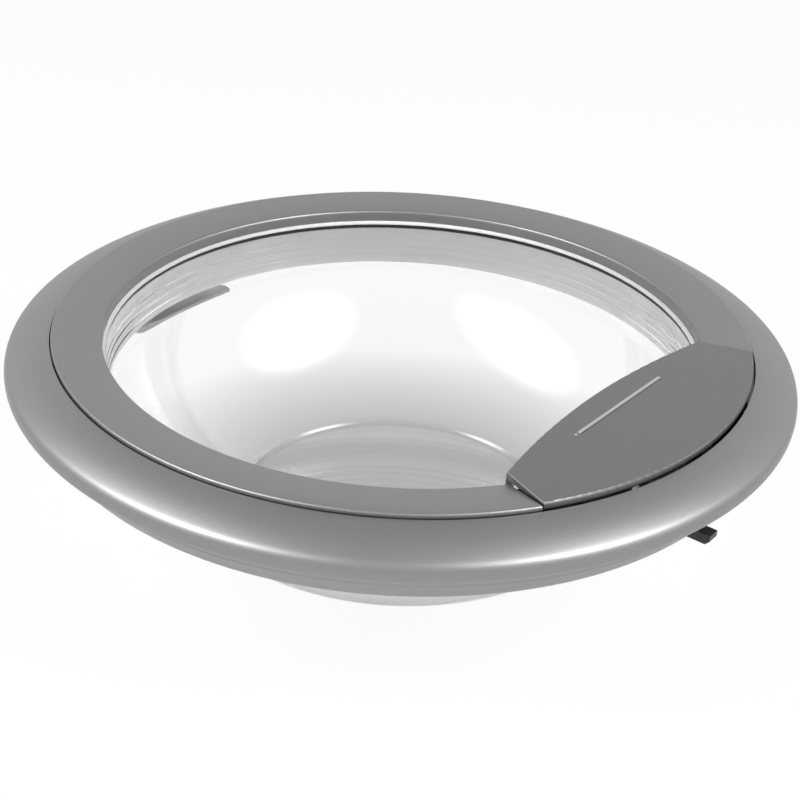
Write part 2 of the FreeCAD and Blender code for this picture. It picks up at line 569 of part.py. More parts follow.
def make_rear_frame():
    """Rear moulding: channel with the glass seat, screw bosses, hook slot and hook ears."""
    body = new_body("rear_frame")
    tongue_top = f"({SKIRT_Z} + tongue_rise)"
    back_x = f"({FRAME_X} - frame_draft)"
    section = outline(body, "frame_section", "XZ_Plane", [
        (FRAME_INNER, FRAME_BACK),
        (f"{back_x} - frame_round", FRAME_BACK, 1, "frame_round"),
        (back_x, f"{FRAME_BACK} + frame_round"),
        (FRAME_X, SKIRT_Z),
        (FRAME_X, tongue_top),
        (f"{FRAME_X} - frame_wall", tongue_top),
        (f"{FRAME_X} - frame_wall", SKIRT_Z),
        (f"{back_x} - frame_wall", FRAME_FLOOR),
        (f"{FRAME_INNER} + frame_wall", FRAME_FLOOR),
        (f"{FRAME_INNER} + frame_wall", f"{FLANGE_BOTTOM} - frame_wall"),
        (f"{FRAME_INNER} + seat_width", f"{FLANGE_BOTTOM} - frame_wall"),
        (f"{FRAME_INNER} + seat_width", FLANGE_BOTTOM),
        (FRAME_INNER, FLANGE_BOTTOM),
    ])
    revolve(body, section)
    place = [(BOSS_X, BOSS_Y)]
    boss = pad(
        body,
        rounds(body, "frame_boss", "XY_Plane", place, "frame_boss_radius", FRAME_BACK),
        f"{BOSS_LEVEL} - {FRAME_BACK}",
    )
    screw_pattern(body, [boss], True)
    hole = pocket(
        body,
        rounds(body, "screw_hole", "XY_Plane", place, "(screw_radius + screw_clearance)", FRAME_BACK),
        f"{BOSS_LEVEL} - {FRAME_BACK}",
        upwards=True,
    )
    screw_pattern(body, [hole], False)
    recess_radius = "(screw_head_radius + screw_clearance)"
    recess = pocket(
        body,
        rounds(body, "head_recess_sketch", "XY_Plane", place, recess_radius, FRAME_BACK),
        "head_recess",
        upwards=True,
    )
    screw_pattern(body, [recess], False)
    slot = block(body, "hook_slot", "XY_Plane", *HOOK_SLOT, FRAME_BACK)
    pocket(body, slot, "frame_wall", upwards=True)
    ear_pin = ("hook_pin_x", HOOK_PIN_Z)
    ear = lug_outline(body, "hook_ear", *ear_pin, "hook_hub", FRAME_FLOOR, f"-{HOOK_EAR_OUTER}")
    mirror(body, [pad(body, ear, "hook_ear_width")])
    pin_bore(body, "hook_ear_bore", "hook_pin_x", HOOK_PIN_Z, "(hook_pin_radius + pin_press)", HOOK_EAR_OUTER)
    hinge_holes = rounds(
        body,
        "hinge_screw_holes",
        "XY_Plane",
        [("-hinge_screw_x", "hinge_screw_spacing / 2"), ("-hinge_screw_x", "-hinge_screw_spacing / 2")],
        "(screw_radius + screw_clearance)",
        FRAME_BACK,
    )
    pocket(body, hinge_holes, "frame_wall", upwards=True)
    pilot_radius = "(screw_radius + screw_grip)"
    guide_pilots = rounds(body, "guide_pilots", "XY_Plane", GUIDE_SCREWS, pilot_radius, FRAME_BACK)
    pocket(body, guide_pilots, "frame_wall", upwards=True)


def make_handle_leaf():
    """Leaf-shaped pull handle: plate, grip lip, two lugs on the pin and the finger that works the hook."""
    body = new_body("handle_leaf")
    plate = outline(body, "leaf_outline", "XY_Plane", [
        ("leaf_corner_x", "-leaf_corner_y"),
        (LEAF_END_X, f"-{LEAF_END_Y}", 1, LEAF_RADIUS),
        (LEAF_END_X, LEAF_END_Y),
        ("leaf_corner_x", "leaf_corner_y", 1, LEAF_ARC),
    ], LEAF_UNDER)
    base = pad(body, plate, "leaf_thickness")
    top = value(LEAF_TOP)
    upper_edges = [
        f"Edge{number}"
        for number, edge in enumerate(base.Shape.Edges, start=1)
        if all(abs(vertex.Point.z - top) < 1e-6 for vertex in edge.Vertexes)
    ]
    before = volume_now(body)
    soft = body.newObject("PartDesign::Fillet", "leaf_edges")
    soft.Base = (base, upper_edges)
    soft.setExpression("Radius", bind("leaf_round"))
    finish_feature(body, soft, before, False)
    lip = outline(body, "lip_outline", "XY_Plane", [
        ("leaf_corner_x", "-leaf_corner_y"),
        ("leaf_corner_x + lip_wall", "-leaf_corner_y", -1, LEAF_ARC),
        ("leaf_corner_x + lip_wall", "leaf_corner_y"),
        ("leaf_corner_x", "leaf_corner_y", 1, LEAF_ARC),
    ], LEAF_UNDER)
    pad(body, lip, "lip_depth", downwards=True)
    lug_pin = ("handle_pin_x", HANDLE_PIN_Z)
    lug = lug_outline(body, "lug_sketch", *lug_pin, "lug_radius", LEAF_UNDER, f"-{LUG_OUTER}")
    mirror(body, [pad(body, lug, "lug_width")])
    pin_bore(body, "lug_bore", "handle_pin_x", HANDLE_PIN_Z, "(handle_pin_radius + pin_running)", LUG_OUTER)
    finger = block(
        body,
        "finger_sketch",
        "XZ_Plane",
        ("finger_outer - finger_thickness", "face_height - finger_depth"),
        ("finger_outer", LEAF_UNDER),
    )
    pad(body, finger, "finger_width", both_sides=True)
    mark = block(
        body,
        "mark_sketch",
        "XY_Plane",
        ("mark_place - mark_width / 2", "-mark_length / 2"),
        ("mark_place + mark_width / 2", "mark_length / 2"),
        LEAF_TOP,
    )
    pad(body, mark, "mark_rise")
    dot_place = [("mark_place", "-mark_length / 2 - dot_gap")]
    dot = rounds(body, "dot_sketch", "XY_Plane", dot_place, "(mark_width / 2)", LEAF_TOP)
    pad(body, dot, "mark_rise")


def make_latch_hook():
    """Hook on its own pin, with an arm under the handle's finger and a barb behind the door."""
    body = new_body("latch_hook")
    arm_top = "(face_height - finger_depth - hook_play)"
    arm_under = f"({arm_top} - hook_arm)"
    tip_z = "(face_height - hook_tip_drop)"
    shank_outer = "(hook_shank + hook_shank_wall)"
    profile = outline(body, "hook_outline", "XZ_Plane", [
        ("hook_pin_x - hook_hub", HOOK_PIN_Z, 1, "hook_hub"),
        ("hook_pin_x", f"{HOOK_PIN_Z} - hook_hub"),
        ("hook_shank", f"{FRAME_BACK}"),
        ("hook_shank", tip_z),
        ("hook_tip_x - hook_nose", tip_z),
        ("hook_tip_x", f"{tip_z} + hook_nose"),
        ("hook_tip_x", f"{tip_z} + hook_barb"),
        (shank_outer, f"{tip_z} + hook_barb"),
        (shank_outer, f"{FRAME_BACK} + frame_wall"),
        ("hook_pin_x + hook_hub", HOOK_PIN_Z),
        ("hook_pin_x + 2 * hook_hub", arm_under),
        ("hook_arm_reach", arm_under),
        ("hook_arm_reach", arm_top),
        ("hook_pin_x + hook_hub", arm_top),
        ("hook_pin_x", f"{HOOK_PIN_Z} + hook_hub", 1, "hook_hub"),
    ])
    pad(body, profile, "hook_width", both_sides=True)
    pin_bore(body, "hook_bore", "hook_pin_x", HOOK_PIN_Z, "(hook_pin_radius + pin_running)", HOOK_HALF)


def make_hook_guide():
    """Plate behind the frame that guides the hook and faces its slot."""
    body = new_body("hook_guide")
    level = f"({FRAME_BACK} - guide_thickness)"
    plate = block(
        body,
        "guide_outline",
        "XY_Plane",
        ("slot_inner - guide_margin / 2", "-guide_length / 2"),
        ("slot_outer + guide_margin / 2", "guide_length / 2"),
        level,
    )
    pad(body, plate, "guide_thickness")
    pocket(body, block(body, "guide_slot", "XY_Plane", *HOOK_SLOT, level))
    holes = rounds(body, "guide_holes", "XY_Plane", GUIDE_SCREWS, "(screw_radius + screw_clearance)", level)
    pocket(body, holes, "guide_thickness", upwards=True)


def make_rod(label, x, z, radius, half_length):
    """A plain steel rod along Y through the middle plane of the door."""
    rod = doc.addObject("Part::Cylinder", label)
    rod.Label = label
    rod.setExpression("Radius", bind(radius))
    rod.setExpression("Height", bind(f"2 * {half_length}"))
    rod.Placement = Placement(Vector(0, 0, 0), Rotation(Vector(1, 0, 0), -90))
    rod.setExpression("Placement.Base.x", bind(x))
    rod.setExpression("Placement.Base.y", bind(f"-{half_length}"))
    rod.setExpression("Placement.Base.z", bind(z))
    sub_parts.append(rod)


def make_torsion_spring(label, place, pin_radius, turns, leg_turn):
    """A close-wound torsion spring round a pin along Y. A leg stands out at each end of the coil."""
    wire = value("wire_radius")
    coil = value(f"{pin_radius} + spring_room + wire_radius")
    pitch = value("spring_pitch")
    leg = value("spring_leg")
    leg_radius = value("wire_radius * leg_taper")
    windings = [
        Part.makeTorus(coil, wire, Vector(0, 0, pitch * turn), Vector(0, 0, 1))
        for turn in range(int(value(turns)))
    ]
    far_end = Vector(coil, 0, pitch * (len(windings) - 1))
    legs = [
        Part.makeCylinder(leg_radius, leg, Vector(-coil, 0, 0), Vector(-1, 0, 0)),
        Part.makeCylinder(leg_radius, leg, far_end, Vector(1, 0, 0)),
    ]
    item = doc.addObject("Part::Feature", label)
    item.Label = label
    item.Shape = windings[0].multiFuse(windings[1:] + legs)
    lie_along_y = Rotation(Vector(1, 0, 0), -90)
    turned = Rotation(Vector(0, 1, 0), leg_turn)
    start_point = Vector(*(value(distance) for distance in place))
    item.Placement = Placement(start_point, turned.multiply(lie_along_y))
    sub_parts.append(item)


def make_screws(label, places, head_level, length, ring):
    """Screws with their heads to the back, one at each place or a ring of them."""
    body = new_body(label)
    heads = rounds(body, label + "_heads", "XY_Plane", places, "screw_head_radius", head_level)
    head = pad(body, heads, "screw_head_height", downwards=True)
    shanks = rounds(body, label + "_shanks", "XY_Plane", places, "screw_radius", head_level)
    shank = pad(body, shanks, length)
    if ring:
        screw_pattern(body, [head, shank], True)


def turn_to_hinge_side(item):
    """The hinge is drawn on the +X side and turned over to the -X side."""
    item.Placement = Placement(Vector(0, 0, 0), Rotation(Vector(0, 0, 1), 180))


def make_hinge_door_leaf():
    """Bent leaf under the rear frame, with a knuckle at each end of the pin."""
    body = new_body("hinge_door_leaf")
    plate_under = f"({FRAME_BACK} - hinge_plate)"
    web_inner = "(hinge_pin_x - knuckle_radius)"
    web_outer = f"({web_inner} + hinge_plate)"
    plate_corner = ("door_leaf_inner", "-door_leaf_half")
    plate = block(body, "door_plate", "XY_Plane", plate_corner, (web_outer, "door_leaf_half"), plate_under)
    pad(body, plate, "hinge_plate")
    web_corners = [(web_inner, plate_under), (web_outer, HINGE_PIN_Z)]
    web = pad(
        body,
        block(body, "door_web", "XZ_Plane", *web_corners, "-knuckle_end"),
        f"knuckle_end - {DOOR_KNUCKLE}",
    )
    pin_place = ("hinge_pin_x", HINGE_PIN_Z)
    knuckle = pad(
        body,
        rounds(body, "door_knuckle", "XZ_Plane", [pin_place], "knuckle_radius", "-knuckle_end"),
        f"knuckle_end - {DOOR_KNUCKLE}",
    )
    mirror(body, [web, knuckle])
    pin_bore(body, "door_knuckle_bore", *pin_place, "(hinge_pin_radius + pin_press)", "knuckle_end")
    holes = rounds(
        body,
        "door_leaf_holes",
        "XY_Plane",
        HINGE_SCREWS,
        "(screw_radius + screw_clearance)",
        plate_under,
    )
    pocket(body, holes, "hinge_plate", upwards=True)
    turn_to_hinge_side(body)


def make_hinge_cabinet_leaf():
    """Bent leaf that is bolted to the cabinet, with one knuckle in the middle of the pin."""
    body = new_body("hinge_cabinet_leaf")
    web_outer = "(hinge_pin_x + knuckle_radius)"
    web_inner = f"({web_outer} - hinge_plate)"
    plate = outline(body, "cabinet_plate", "XY_Plane", [
        ("cabinet_leaf_inner", "-cabinet_leaf_half"),
        ("cabinet_leaf_outer", "-cabinet_leaf_half"),
        (web_outer, "-knuckle_half"),
        (web_outer, "knuckle_half"),
        ("cabinet_leaf_outer", "cabinet_leaf_half"),
        ("cabinet_leaf_inner", "cabinet_leaf_half"),
    ], CABINET_BACK)
    pad(body, plate, "hinge_plate")
    web = block(body, "cabinet_web", "XZ_Plane", (web_inner, CABINET_BACK), (web_outer, HINGE_PIN_Z))
    pad(body, web, "2 * knuckle_half", both_sides=True)
    pin_place = ("hinge_pin_x", HINGE_PIN_Z)
    knuckle = rounds(body, "cabinet_knuckle", "XZ_Plane", [pin_place], "knuckle_radius")
    pad(body, knuckle, "2 * knuckle_half", both_sides=True)
    pin_bore(body, "cabinet_knuckle_bore", *pin_place, f"({BUSH_OUTER} + pin_press)", "knuckle_half")
    holes = rounds(
        body,
        "cabinet_holes",
        "XY_Plane",
        [("cabinet_hole_x", "cabinet_hole_spacing / 2"), ("cabinet_hole_x", "-cabinet_hole_spacing / 2")],
        "cabinet_hole_radius",
        CABINET_BACK,
    )
    pocket(body, holes, "hinge_plate", upwards=True)
    turn_to_hinge_side(body)


def make_hinge_bush(label, side):
    """Flanged bush in one end of the cabinet leaf's knuckle."""
    body = new_body(label)
    place = [("hinge_pin_x", HINGE_PIN_Z)]
    level = f"-({side} * knuckle_half)"
    into_knuckle = side < 0
    sleeve = rounds(body, label + "_sleeve", "XZ_Plane", place, BUSH_OUTER, level)
    pad(body, sleeve, "bush_length", downwards=into_knuckle)
    flange = rounds(body, label + "_flange", "XZ_Plane", place, "knuckle_radius", level)
    pad(body, flange, "bush_flange", downwards=not into_knuckle)
    pocket(body, rounds(body, label + "_bore", "XZ_Plane", place, "(hinge_pin_radius + pin_running)", level))
    turn_to_hinge_side(body)


def make_backing_plate():
    """Tapped plate inside the frame that the hinge screws pull against."""
    body = new_body("hinge_backing_plate")
    plate = block(
        body,
        "backing_outline",
        "XY_Plane",
        ("hinge_screw_x - backing_half_width", "-backing_half_length"),
        ("hinge_screw_x + backing_half_width", "backing_half_length"),
        FRAME_FLOOR,
    )
    pad(body, plate, "backing_thickness")
    holes = rounds(
        body,
        "backing_holes",
        "XY_Plane",
        HINGE_SCREWS,
        "(screw_radius + screw_grip)",
        FRAME_FLOOR,
    )
    pocket(body, holes, "backing_thickness", upwards=True)
    turn_to_hinge_side(body)


make_trim_ring()
make_outer_rim()
make_rear_frame()
make_glass_bowl()
make_handle_leaf()
make_rod("handle_pin", "handle_pin_x", HANDLE_PIN_Z, "handle_pin_radius", EAR_OUTER)
make_torsion_spring(
    "handle_spring",
    ("handle_pin_x", "lug_inner / 2", HANDLE_PIN_Z),
    "handle_pin_radius",
    "handle_spring_turns",
    LEVEL_LEGS,
)
make_latch_hook()
make_rod("hook_pin", "hook_pin_x", HOOK_PIN_Z, "hook_pin_radius", HOOK_EAR_OUTER)
make_torsion_spring(
    "hook_spring",
    ("hook_pin_x", HOOK_SPRING_Y, HOOK_PIN_Z),
    "hook_pin_radius",
    "hook_spring_turns",
    UPRIGHT_LEGS,
)
make_hook_guide()
make_screws(
    "frame_screws",
    [(BOSS_X, BOSS_Y)],
    f"({FRAME_BACK} + head_recess)",
    "screw_length",
    ring=True,
)
make_screws(
    "guide_screws",
    GUIDE_SCREWS,
    f"({FRAME_BACK} - guide_thickness)",
    "guide_thickness + frame_wall + guide_screw_tail",
    ring=False,
)
make_hinge_door_leaf()
make_hinge_cabinet_leaf()
make_hinge_bush("hinge_bush_upper", 1)
make_hinge_bush("hinge_bush_lower", -1)
make_rod("hinge_pin", "-hinge_pin_x", HINGE_PIN_Z, "hinge_pin_radius", "knuckle_end")
make_screws(
    "hinge_screws",
    [("-hinge_screw_x", "hinge_screw_spacing / 2"), ("-hinge_screw_x", "-hinge_screw_spacing / 2")],
    f"({FRAME_BACK} - hinge_plate)",
    "hinge_plate + frame_wall + backing_thickness + hinge_screw_tail",
    ring=False,
)
make_backing_plate()
doc.recompute()

for item in doc.Objects:
    if "Invalid" in item.State or "Error" in item.State:
        raise RuntimeError(f"{item.Label} could not be rebuilt: {item.State}")
for item in sub_parts:
    if item.Shape.isNull() or not item.Shape.isValid():
        raise RuntimeError(f"{item.Label} has no valid shape")

os.makedirs("parts", exist_ok=True)
for item in sub_parts:
    item.Shape.exportStep(f"parts/{item.Label}.step")
    box = item.Shape.BoundBox
    print(f"{item.Label}: {len(item.Shape.Solids)} solids, {item.Shape.Volume / 1000:.1f} cm3,"
          f" z {box.ZMin:.2f} to {box.ZMax:.2f}")
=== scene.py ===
"""Looks of the washing machine door: paint, glass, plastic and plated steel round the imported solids."""
import math

import bmesh
import bpy
from mathutils import Matrix, Vector


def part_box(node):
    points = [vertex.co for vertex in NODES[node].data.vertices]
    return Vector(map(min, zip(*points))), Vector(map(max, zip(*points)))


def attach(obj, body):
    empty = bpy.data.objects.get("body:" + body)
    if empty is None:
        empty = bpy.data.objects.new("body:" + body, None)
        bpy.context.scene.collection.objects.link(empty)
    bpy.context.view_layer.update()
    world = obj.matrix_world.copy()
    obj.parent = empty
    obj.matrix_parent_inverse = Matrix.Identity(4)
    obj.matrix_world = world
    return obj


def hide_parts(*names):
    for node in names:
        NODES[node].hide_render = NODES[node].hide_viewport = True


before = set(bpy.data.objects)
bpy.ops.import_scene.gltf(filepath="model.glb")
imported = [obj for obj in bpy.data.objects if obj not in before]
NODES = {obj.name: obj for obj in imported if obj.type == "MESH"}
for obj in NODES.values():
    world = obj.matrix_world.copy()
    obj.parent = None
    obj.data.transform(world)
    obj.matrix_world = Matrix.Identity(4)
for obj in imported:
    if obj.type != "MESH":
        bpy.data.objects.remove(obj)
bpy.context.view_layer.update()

bl_info = {
    "name": "Washing machine door",
    "version": (1, 0, 0),
    "blender": (4, 5, 0),
    "location": "View3D > Sidebar > Door",
    "description": "Finishes, glass and studio for a porthole door",
    "category": "Object",
}

MILLIMETRE = 0.001

# Pieces that share a finish
BLACK_NODES = ("latch_hook", "hook_guide")
BRIGHT_NODES = (
    "handle_pin",
    "handle_spring",
    "hook_pin",
    "hook_spring",
    "frame_screws",
    "guide_screws",
    "hinge_pin",
    "hinge_screws",
)
PLATED_NODES = ("hinge_door_leaf", "hinge_cabinet_leaf", "hinge_backing_plate")
BUSH_NODES = ("hinge_bush_upper", "hinge_bush_lower")

# Steps of a rounded edge, of the bowl's wall and of the rim's face in a turned section
EDGE_STEPS = 6
WALL_STEPS = 28
FACE_STEPS = 14

# Points nearer to each other than this are one, and edges that fold less than this are smooth
MERGE_DISTANCE = 0.001 * MILLIMETRE
CORNER_ANGLE = math.radians(25.0)

# A pressed ring of the bowl: depth and rise of its points, as shares of its depth
RING_HOLLOW = ((0.0, 1.0), (0.6, 0.5), (1.0, 0.0), (0.6, -0.5), (0.0, -1.0))

# Grain of the surfaces: scales are per metre, and shades and swings are shares
GRAIN_ENDS = (0.25, 0.75)

# Silver paint
FLAKE_SHADE = 0.10
FLAKE_RELIEF = 0.004 * MILLIMETRE
WIPED_SCALE = 18.0
WIPED_SWING = 0.03
MARK_SHADE = 0.05
MARK_DEPTH = 0.2 * MILLIMETRE

# Moulded plastic
TOOL_SCALE = 1600.0
TOOL_SHADE = 0.05
TOOL_RELIEF = 0.01 * MILLIMETRE
GLOSS_SCALE = 30.0
GLOSS_SWING = 0.04
FRAME_ROUGHNESS = 0.42
LATCH_ROUGHNESS = 0.38
BUSH_ROUGHNESS = 0.35
FLANGE_ROUGHNESS = 0.7
BORE_MARGIN = 5.0 * MILLIMETRE

# Steel
DRAWN_SCALE = 900.0
DRAWN_SHADE = 0.08
DRAWN_RELIEF = 0.004 * MILLIMETRE
DRAWN_SMOOTHER = 0.05
DRAWN_ROUGHER = 0.07
BRIGHT_ROUGHNESS = 0.25
PLATED_ROUGHNESS = 0.52
ALONG_PINS = (1.0, 0.1, 1.0)
ALONG_SHEET = (0.15, 1.0, 1.0)

# Glass
GLASS_IOR = 1.5
SMEAR_SCALE = 25.0
SMEAR_DETAIL = 4.0
SMEAR_ROUGHNESS = 0.03
WAVE_SCALE = 22.0
WAVE_RELIEF = 0.05 * MILLIMETRE

# Lamps: azimuth and elevation in degrees, then width and height, all at one distance from the door
SOFT_BOXES = {
    "left_box": (-28.0, 44.0, (2.4, 0.9)),
    "right_box": (98.0, 46.0, (1.9, 1.1)),
}
LAMP_DISTANCE = 1.7

# Floor, studio and camera
WHITE = (1.0, 1.0, 1.0, 1.0)
FLOOR_COLOUR = (0.95, 0.95, 0.95, 1.0)
FLOOR_ROUGHNESS = 0.9
FLOOR_DROP = 0.1 * MILLIMETRE
# White of the open floor, as seen through the glass
OPEN_FLOOR = 0.96
# Height, from 0 at the horizon to 1 overhead, where the studio starts and stops getting darker
CEILING_HEIGHTS = (0.42, 0.85)
CLIP_START = 0.01
CLIP_END = 50.0


class DoorFinish(bpy.types.PropertyGroup):
    """Colours and surfaces of the door."""

    silver: bpy.props.FloatVectorProperty(
        name="Silver paint", description="Colour of the painted mouldings", subtype="COLOR",
        default=(0.28, 0.28, 0.283), min=0.0, max=1.0,
    )
    silver_roughness: bpy.props.FloatProperty(
        name="Paint roughness", description="Roughness of the satin paint", subtype="FACTOR",
        default=0.41, min=0.0, max=1.0,
    )
    silver_metal: bpy.props.FloatProperty(
        name="Paint metal", description="Share of metal flake in the paint", subtype="FACTOR",
        default=1.0, min=0.0, max=1.0,
    )
    flake: bpy.props.FloatProperty(
        name="Flake", description="Size of the metal flakes", subtype="DISTANCE", unit="LENGTH",
        default=0.35 * MILLIMETRE, min=0.01 * MILLIMETRE,
    )
    # Painted shade: the handle wears a darker copy of the rim's silver paint, standing in for the shade
    # that falls on it
    painted_shade_of_handle: bpy.props.FloatProperty(
        name="Handle shade", description="Handle's paint against that of the rim", subtype="FACTOR",
        default=0.76, min=0.0, max=1.0,
    )
    mark: bpy.props.FloatVectorProperty(
        name="Mark", description="Colour of the raised mark on the handle", subtype="COLOR",
        default=(0.56, 0.56, 0.56), min=0.0, max=1.0,
    )
    frame_grey: bpy.props.FloatVectorProperty(
        name="Frame plastic", description="Colour of the rear frame", subtype="COLOR",
        default=(0.33, 0.33, 0.333), min=0.0, max=1.0,
    )
    black: bpy.props.FloatVectorProperty(
        name="Latch plastic", description="Colour of the hook and its guide", subtype="COLOR",
        default=(0.012, 0.012, 0.013), min=0.0, max=1.0,
    )
    bright_steel: bpy.props.FloatVectorProperty(
        name="Bright steel", description="Colour of pins, screws and springs", subtype="COLOR",
        default=(0.62, 0.62, 0.63), min=0.0, max=1.0,
    )
    plated_steel: bpy.props.FloatVectorProperty(
        name="Plated steel", description="Colour of the zinc plated hinge", subtype="COLOR",
        default=(0.50, 0.50, 0.51), min=0.0, max=1.0,
    )
    # Painted light: the frame plastic inside its bore is paler, standing in for the light that reaches it
    # through the glass
    bore_painted_light: bpy.props.FloatVectorProperty(
        name="Frame bore", description="Colour of the bare plastic round the glass",
        subtype="COLOR", default=(0.92, 0.92, 0.92), min=0.0, max=1.0,
    )
    bush: bpy.props.FloatVectorProperty(
        name="Bush plastic", description="Colour of the hinge bushes", subtype="COLOR",
        default=(0.78, 0.77, 0.72), min=0.0, max=1.0,
    )
    ground_glass: bpy.props.FloatVectorProperty(
        name="Ground glass", description="Colour of the matt flange of the bowl", subtype="COLOR",
        default=(0.8, 0.8, 0.8), min=0.0, max=1.0,
    )
    glass: bpy.props.FloatVectorProperty(
        name="Glass", description="Tint of the bowl", subtype="COLOR",
        default=(0.985, 0.988, 0.988), min=0.0, max=1.0,
    )


class DoorRing(bpy.types.PropertyGroup):
    """Sizes of the trim ring."""

    opening: bpy.props.FloatProperty(
        name="Opening", description="Radius of the opening", subtype="DISTANCE", unit="LENGTH",
        default=148.5 * MILLIMETRE,
    )
    outside: bpy.props.FloatProperty(
        name="Outside", description="Radius of the outer edge", subtype="DISTANCE", unit="LENGTH",
        default=172.5 * MILLIMETRE,
    )
    height: bpy.props.FloatProperty(
        name="Height", description="Outer edge above the floor", subtype="DISTANCE", unit="LENGTH",
        default=110.0 * MILLIMETRE,
    )
    dish: bpy.props.FloatProperty(
        name="Dish", description="Fall of the face towards the opening", subtype="DISTANCE",
        unit="LENGTH", default=2.7 * MILLIMETRE,
    )
    depth: bpy.props.FloatProperty(
        name="Depth", description="From the outer edge to the seat", subtype="DISTANCE",
        unit="LENGTH", default=6.5 * MILLIMETRE,
    )
    wall: bpy.props.FloatProperty(
        name="Wall", description="Thickness of the moulding", subtype="DISTANCE", unit="LENGTH",
        default=2.4 * MILLIMETRE,
    )
    edge: bpy.props.FloatProperty(
        name="Outer round", description="Round of the outer edge", subtype="DISTANCE",
        unit="LENGTH", default=1.0 * MILLIMETRE,
    )
    lip: bpy.props.FloatProperty(
        name="Inner round", description="Round of the inner edge", subtype="DISTANCE",
        unit="LENGTH", default=1.4 * MILLIMETRE,
    )
    gap_corner: bpy.props.FloatVectorProperty(
        name="Handle gap", description="A point on one end of the gap for the handle",
        subtype="XYZ", unit="LENGTH", default=(120.5 * MILLIMETRE, 83.35 * MILLIMETRE, 0.0),
    )
    splay: bpy.props.FloatProperty(
        name="Splay", description="How far the ends of that gap open outwards", subtype="ANGLE",
        unit="ROTATION", default=math.radians(20.0),
    )
    steps: bpy.props.IntProperty(
        name="Steps", description="Steps of the ring round its arc", default=600, min=24,
    )


class DoorRim(bpy.types.PropertyGroup):
    """Sizes of the rim's painted face."""

    shoulder: bpy.props.FloatVectorProperty(
        name="Shoulder", description="Radius and height of the inner edge", size=2, unit="LENGTH",
        default=(173.2 * MILLIMETRE, 107.8 * MILLIMETRE),
    )
    crown: bpy.props.FloatProperty(
        name="Crown", description="Radius of the face's curve", subtype="DISTANCE", unit="LENGTH",
        default=51.5 * MILLIMETRE,
    )
    crown_centre: bpy.props.FloatVectorProperty(
        name="Centre of the crown", description="Radius and height of that curve's centre", size=2,
        unit="LENGTH", default=(164.78 * MILLIMETRE, 56.994 * MILLIMETRE),
    )
    roll: bpy.props.FloatProperty(
        name="Roll", description="Radius of the rolled edge", subtype="DISTANCE", unit="LENGTH",
        default=6.2 * MILLIMETRE,
    )
    roll_centre: bpy.props.FloatVectorProperty(
        name="Centre of the roll", description="Radius and height of the rolled edge's centre",
        size=2, unit="LENGTH", default=(188.8 * MILLIMETRE, 95.4 * MILLIMETRE),
    )
    roll_start: bpy.props.FloatProperty(
        name="Roll start", description="Angle where the roll leaves the face", subtype="ANGLE",
        unit="ROTATION", default=math.radians(58.0),
    )
    roll_end: bpy.props.FloatProperty(
        name="Roll end", description="Angle where the roll ends underneath", subtype="ANGLE",
        unit="ROTATION", default=math.radians(-60.0),
    )
    skirt_top: bpy.props.FloatVectorProperty(
        name="Skirt top", description="Radius and height where the skirt begins", size=2,
        unit="LENGTH", default=(189.9 * MILLIMETRE, 90.03 * MILLIMETRE),
    )
    skirt_low: bpy.props.FloatVectorProperty(
        name="Skirt edge", description="Radius and height of the skirt's lower edge", size=2,
        unit="LENGTH", default=(187.8 * MILLIMETRE, 85.2 * MILLIMETRE),
    )
    coat: bpy.props.FloatProperty(
        name="Coat", description="How far the paint stands on the moulding", subtype="DISTANCE",
        unit="LENGTH", default=0.08 * MILLIMETRE,
    )
    backing: bpy.props.FloatProperty(
        name="Backing", description="How deep the painted layer goes into the moulding's wall",
        subtype="DISTANCE", unit="LENGTH", default=0.8 * MILLIMETRE,
    )
    steps: bpy.props.IntProperty(
        name="Steps", description="Steps of the face round its axis", default=480, min=24,
    )


class DoorFrame(bpy.types.PropertyGroup):
    """Sizes of the rear frame's outside."""

    top: bpy.props.FloatVectorProperty(
        name="Top", description="Radius and height of the outer wall under the skirt", size=2,
        unit="LENGTH", default=(184.0 * MILLIMETRE, 85.2 * MILLIMETRE),
    )
    corner: bpy.props.FloatVectorProperty(
        name="Corner", description="Radius and height of the centre of the back corner's round",
        size=2, unit="LENGTH", default=(178.0 * MILLIMETRE, 75.3 * MILLIMETRE),
    )
    corner_round: bpy.props.FloatProperty(
        name="Corner round", description="Round of the back corner", subtype="DISTANCE",
        unit="LENGTH", default=1.5 * MILLIMETRE,
    )
    hinge_gap: bpy.props.FloatProperty(
        name="Hinge gap", description="Half of the arc that is left open round the hinge",
        subtype="ANGLE", unit="ROTATION", default=math.radians(30.0),
    )
    steps: bpy.props.IntProperty(
        name="Steps", description="Steps of the wall round its arc", default=400, min=24,
    )


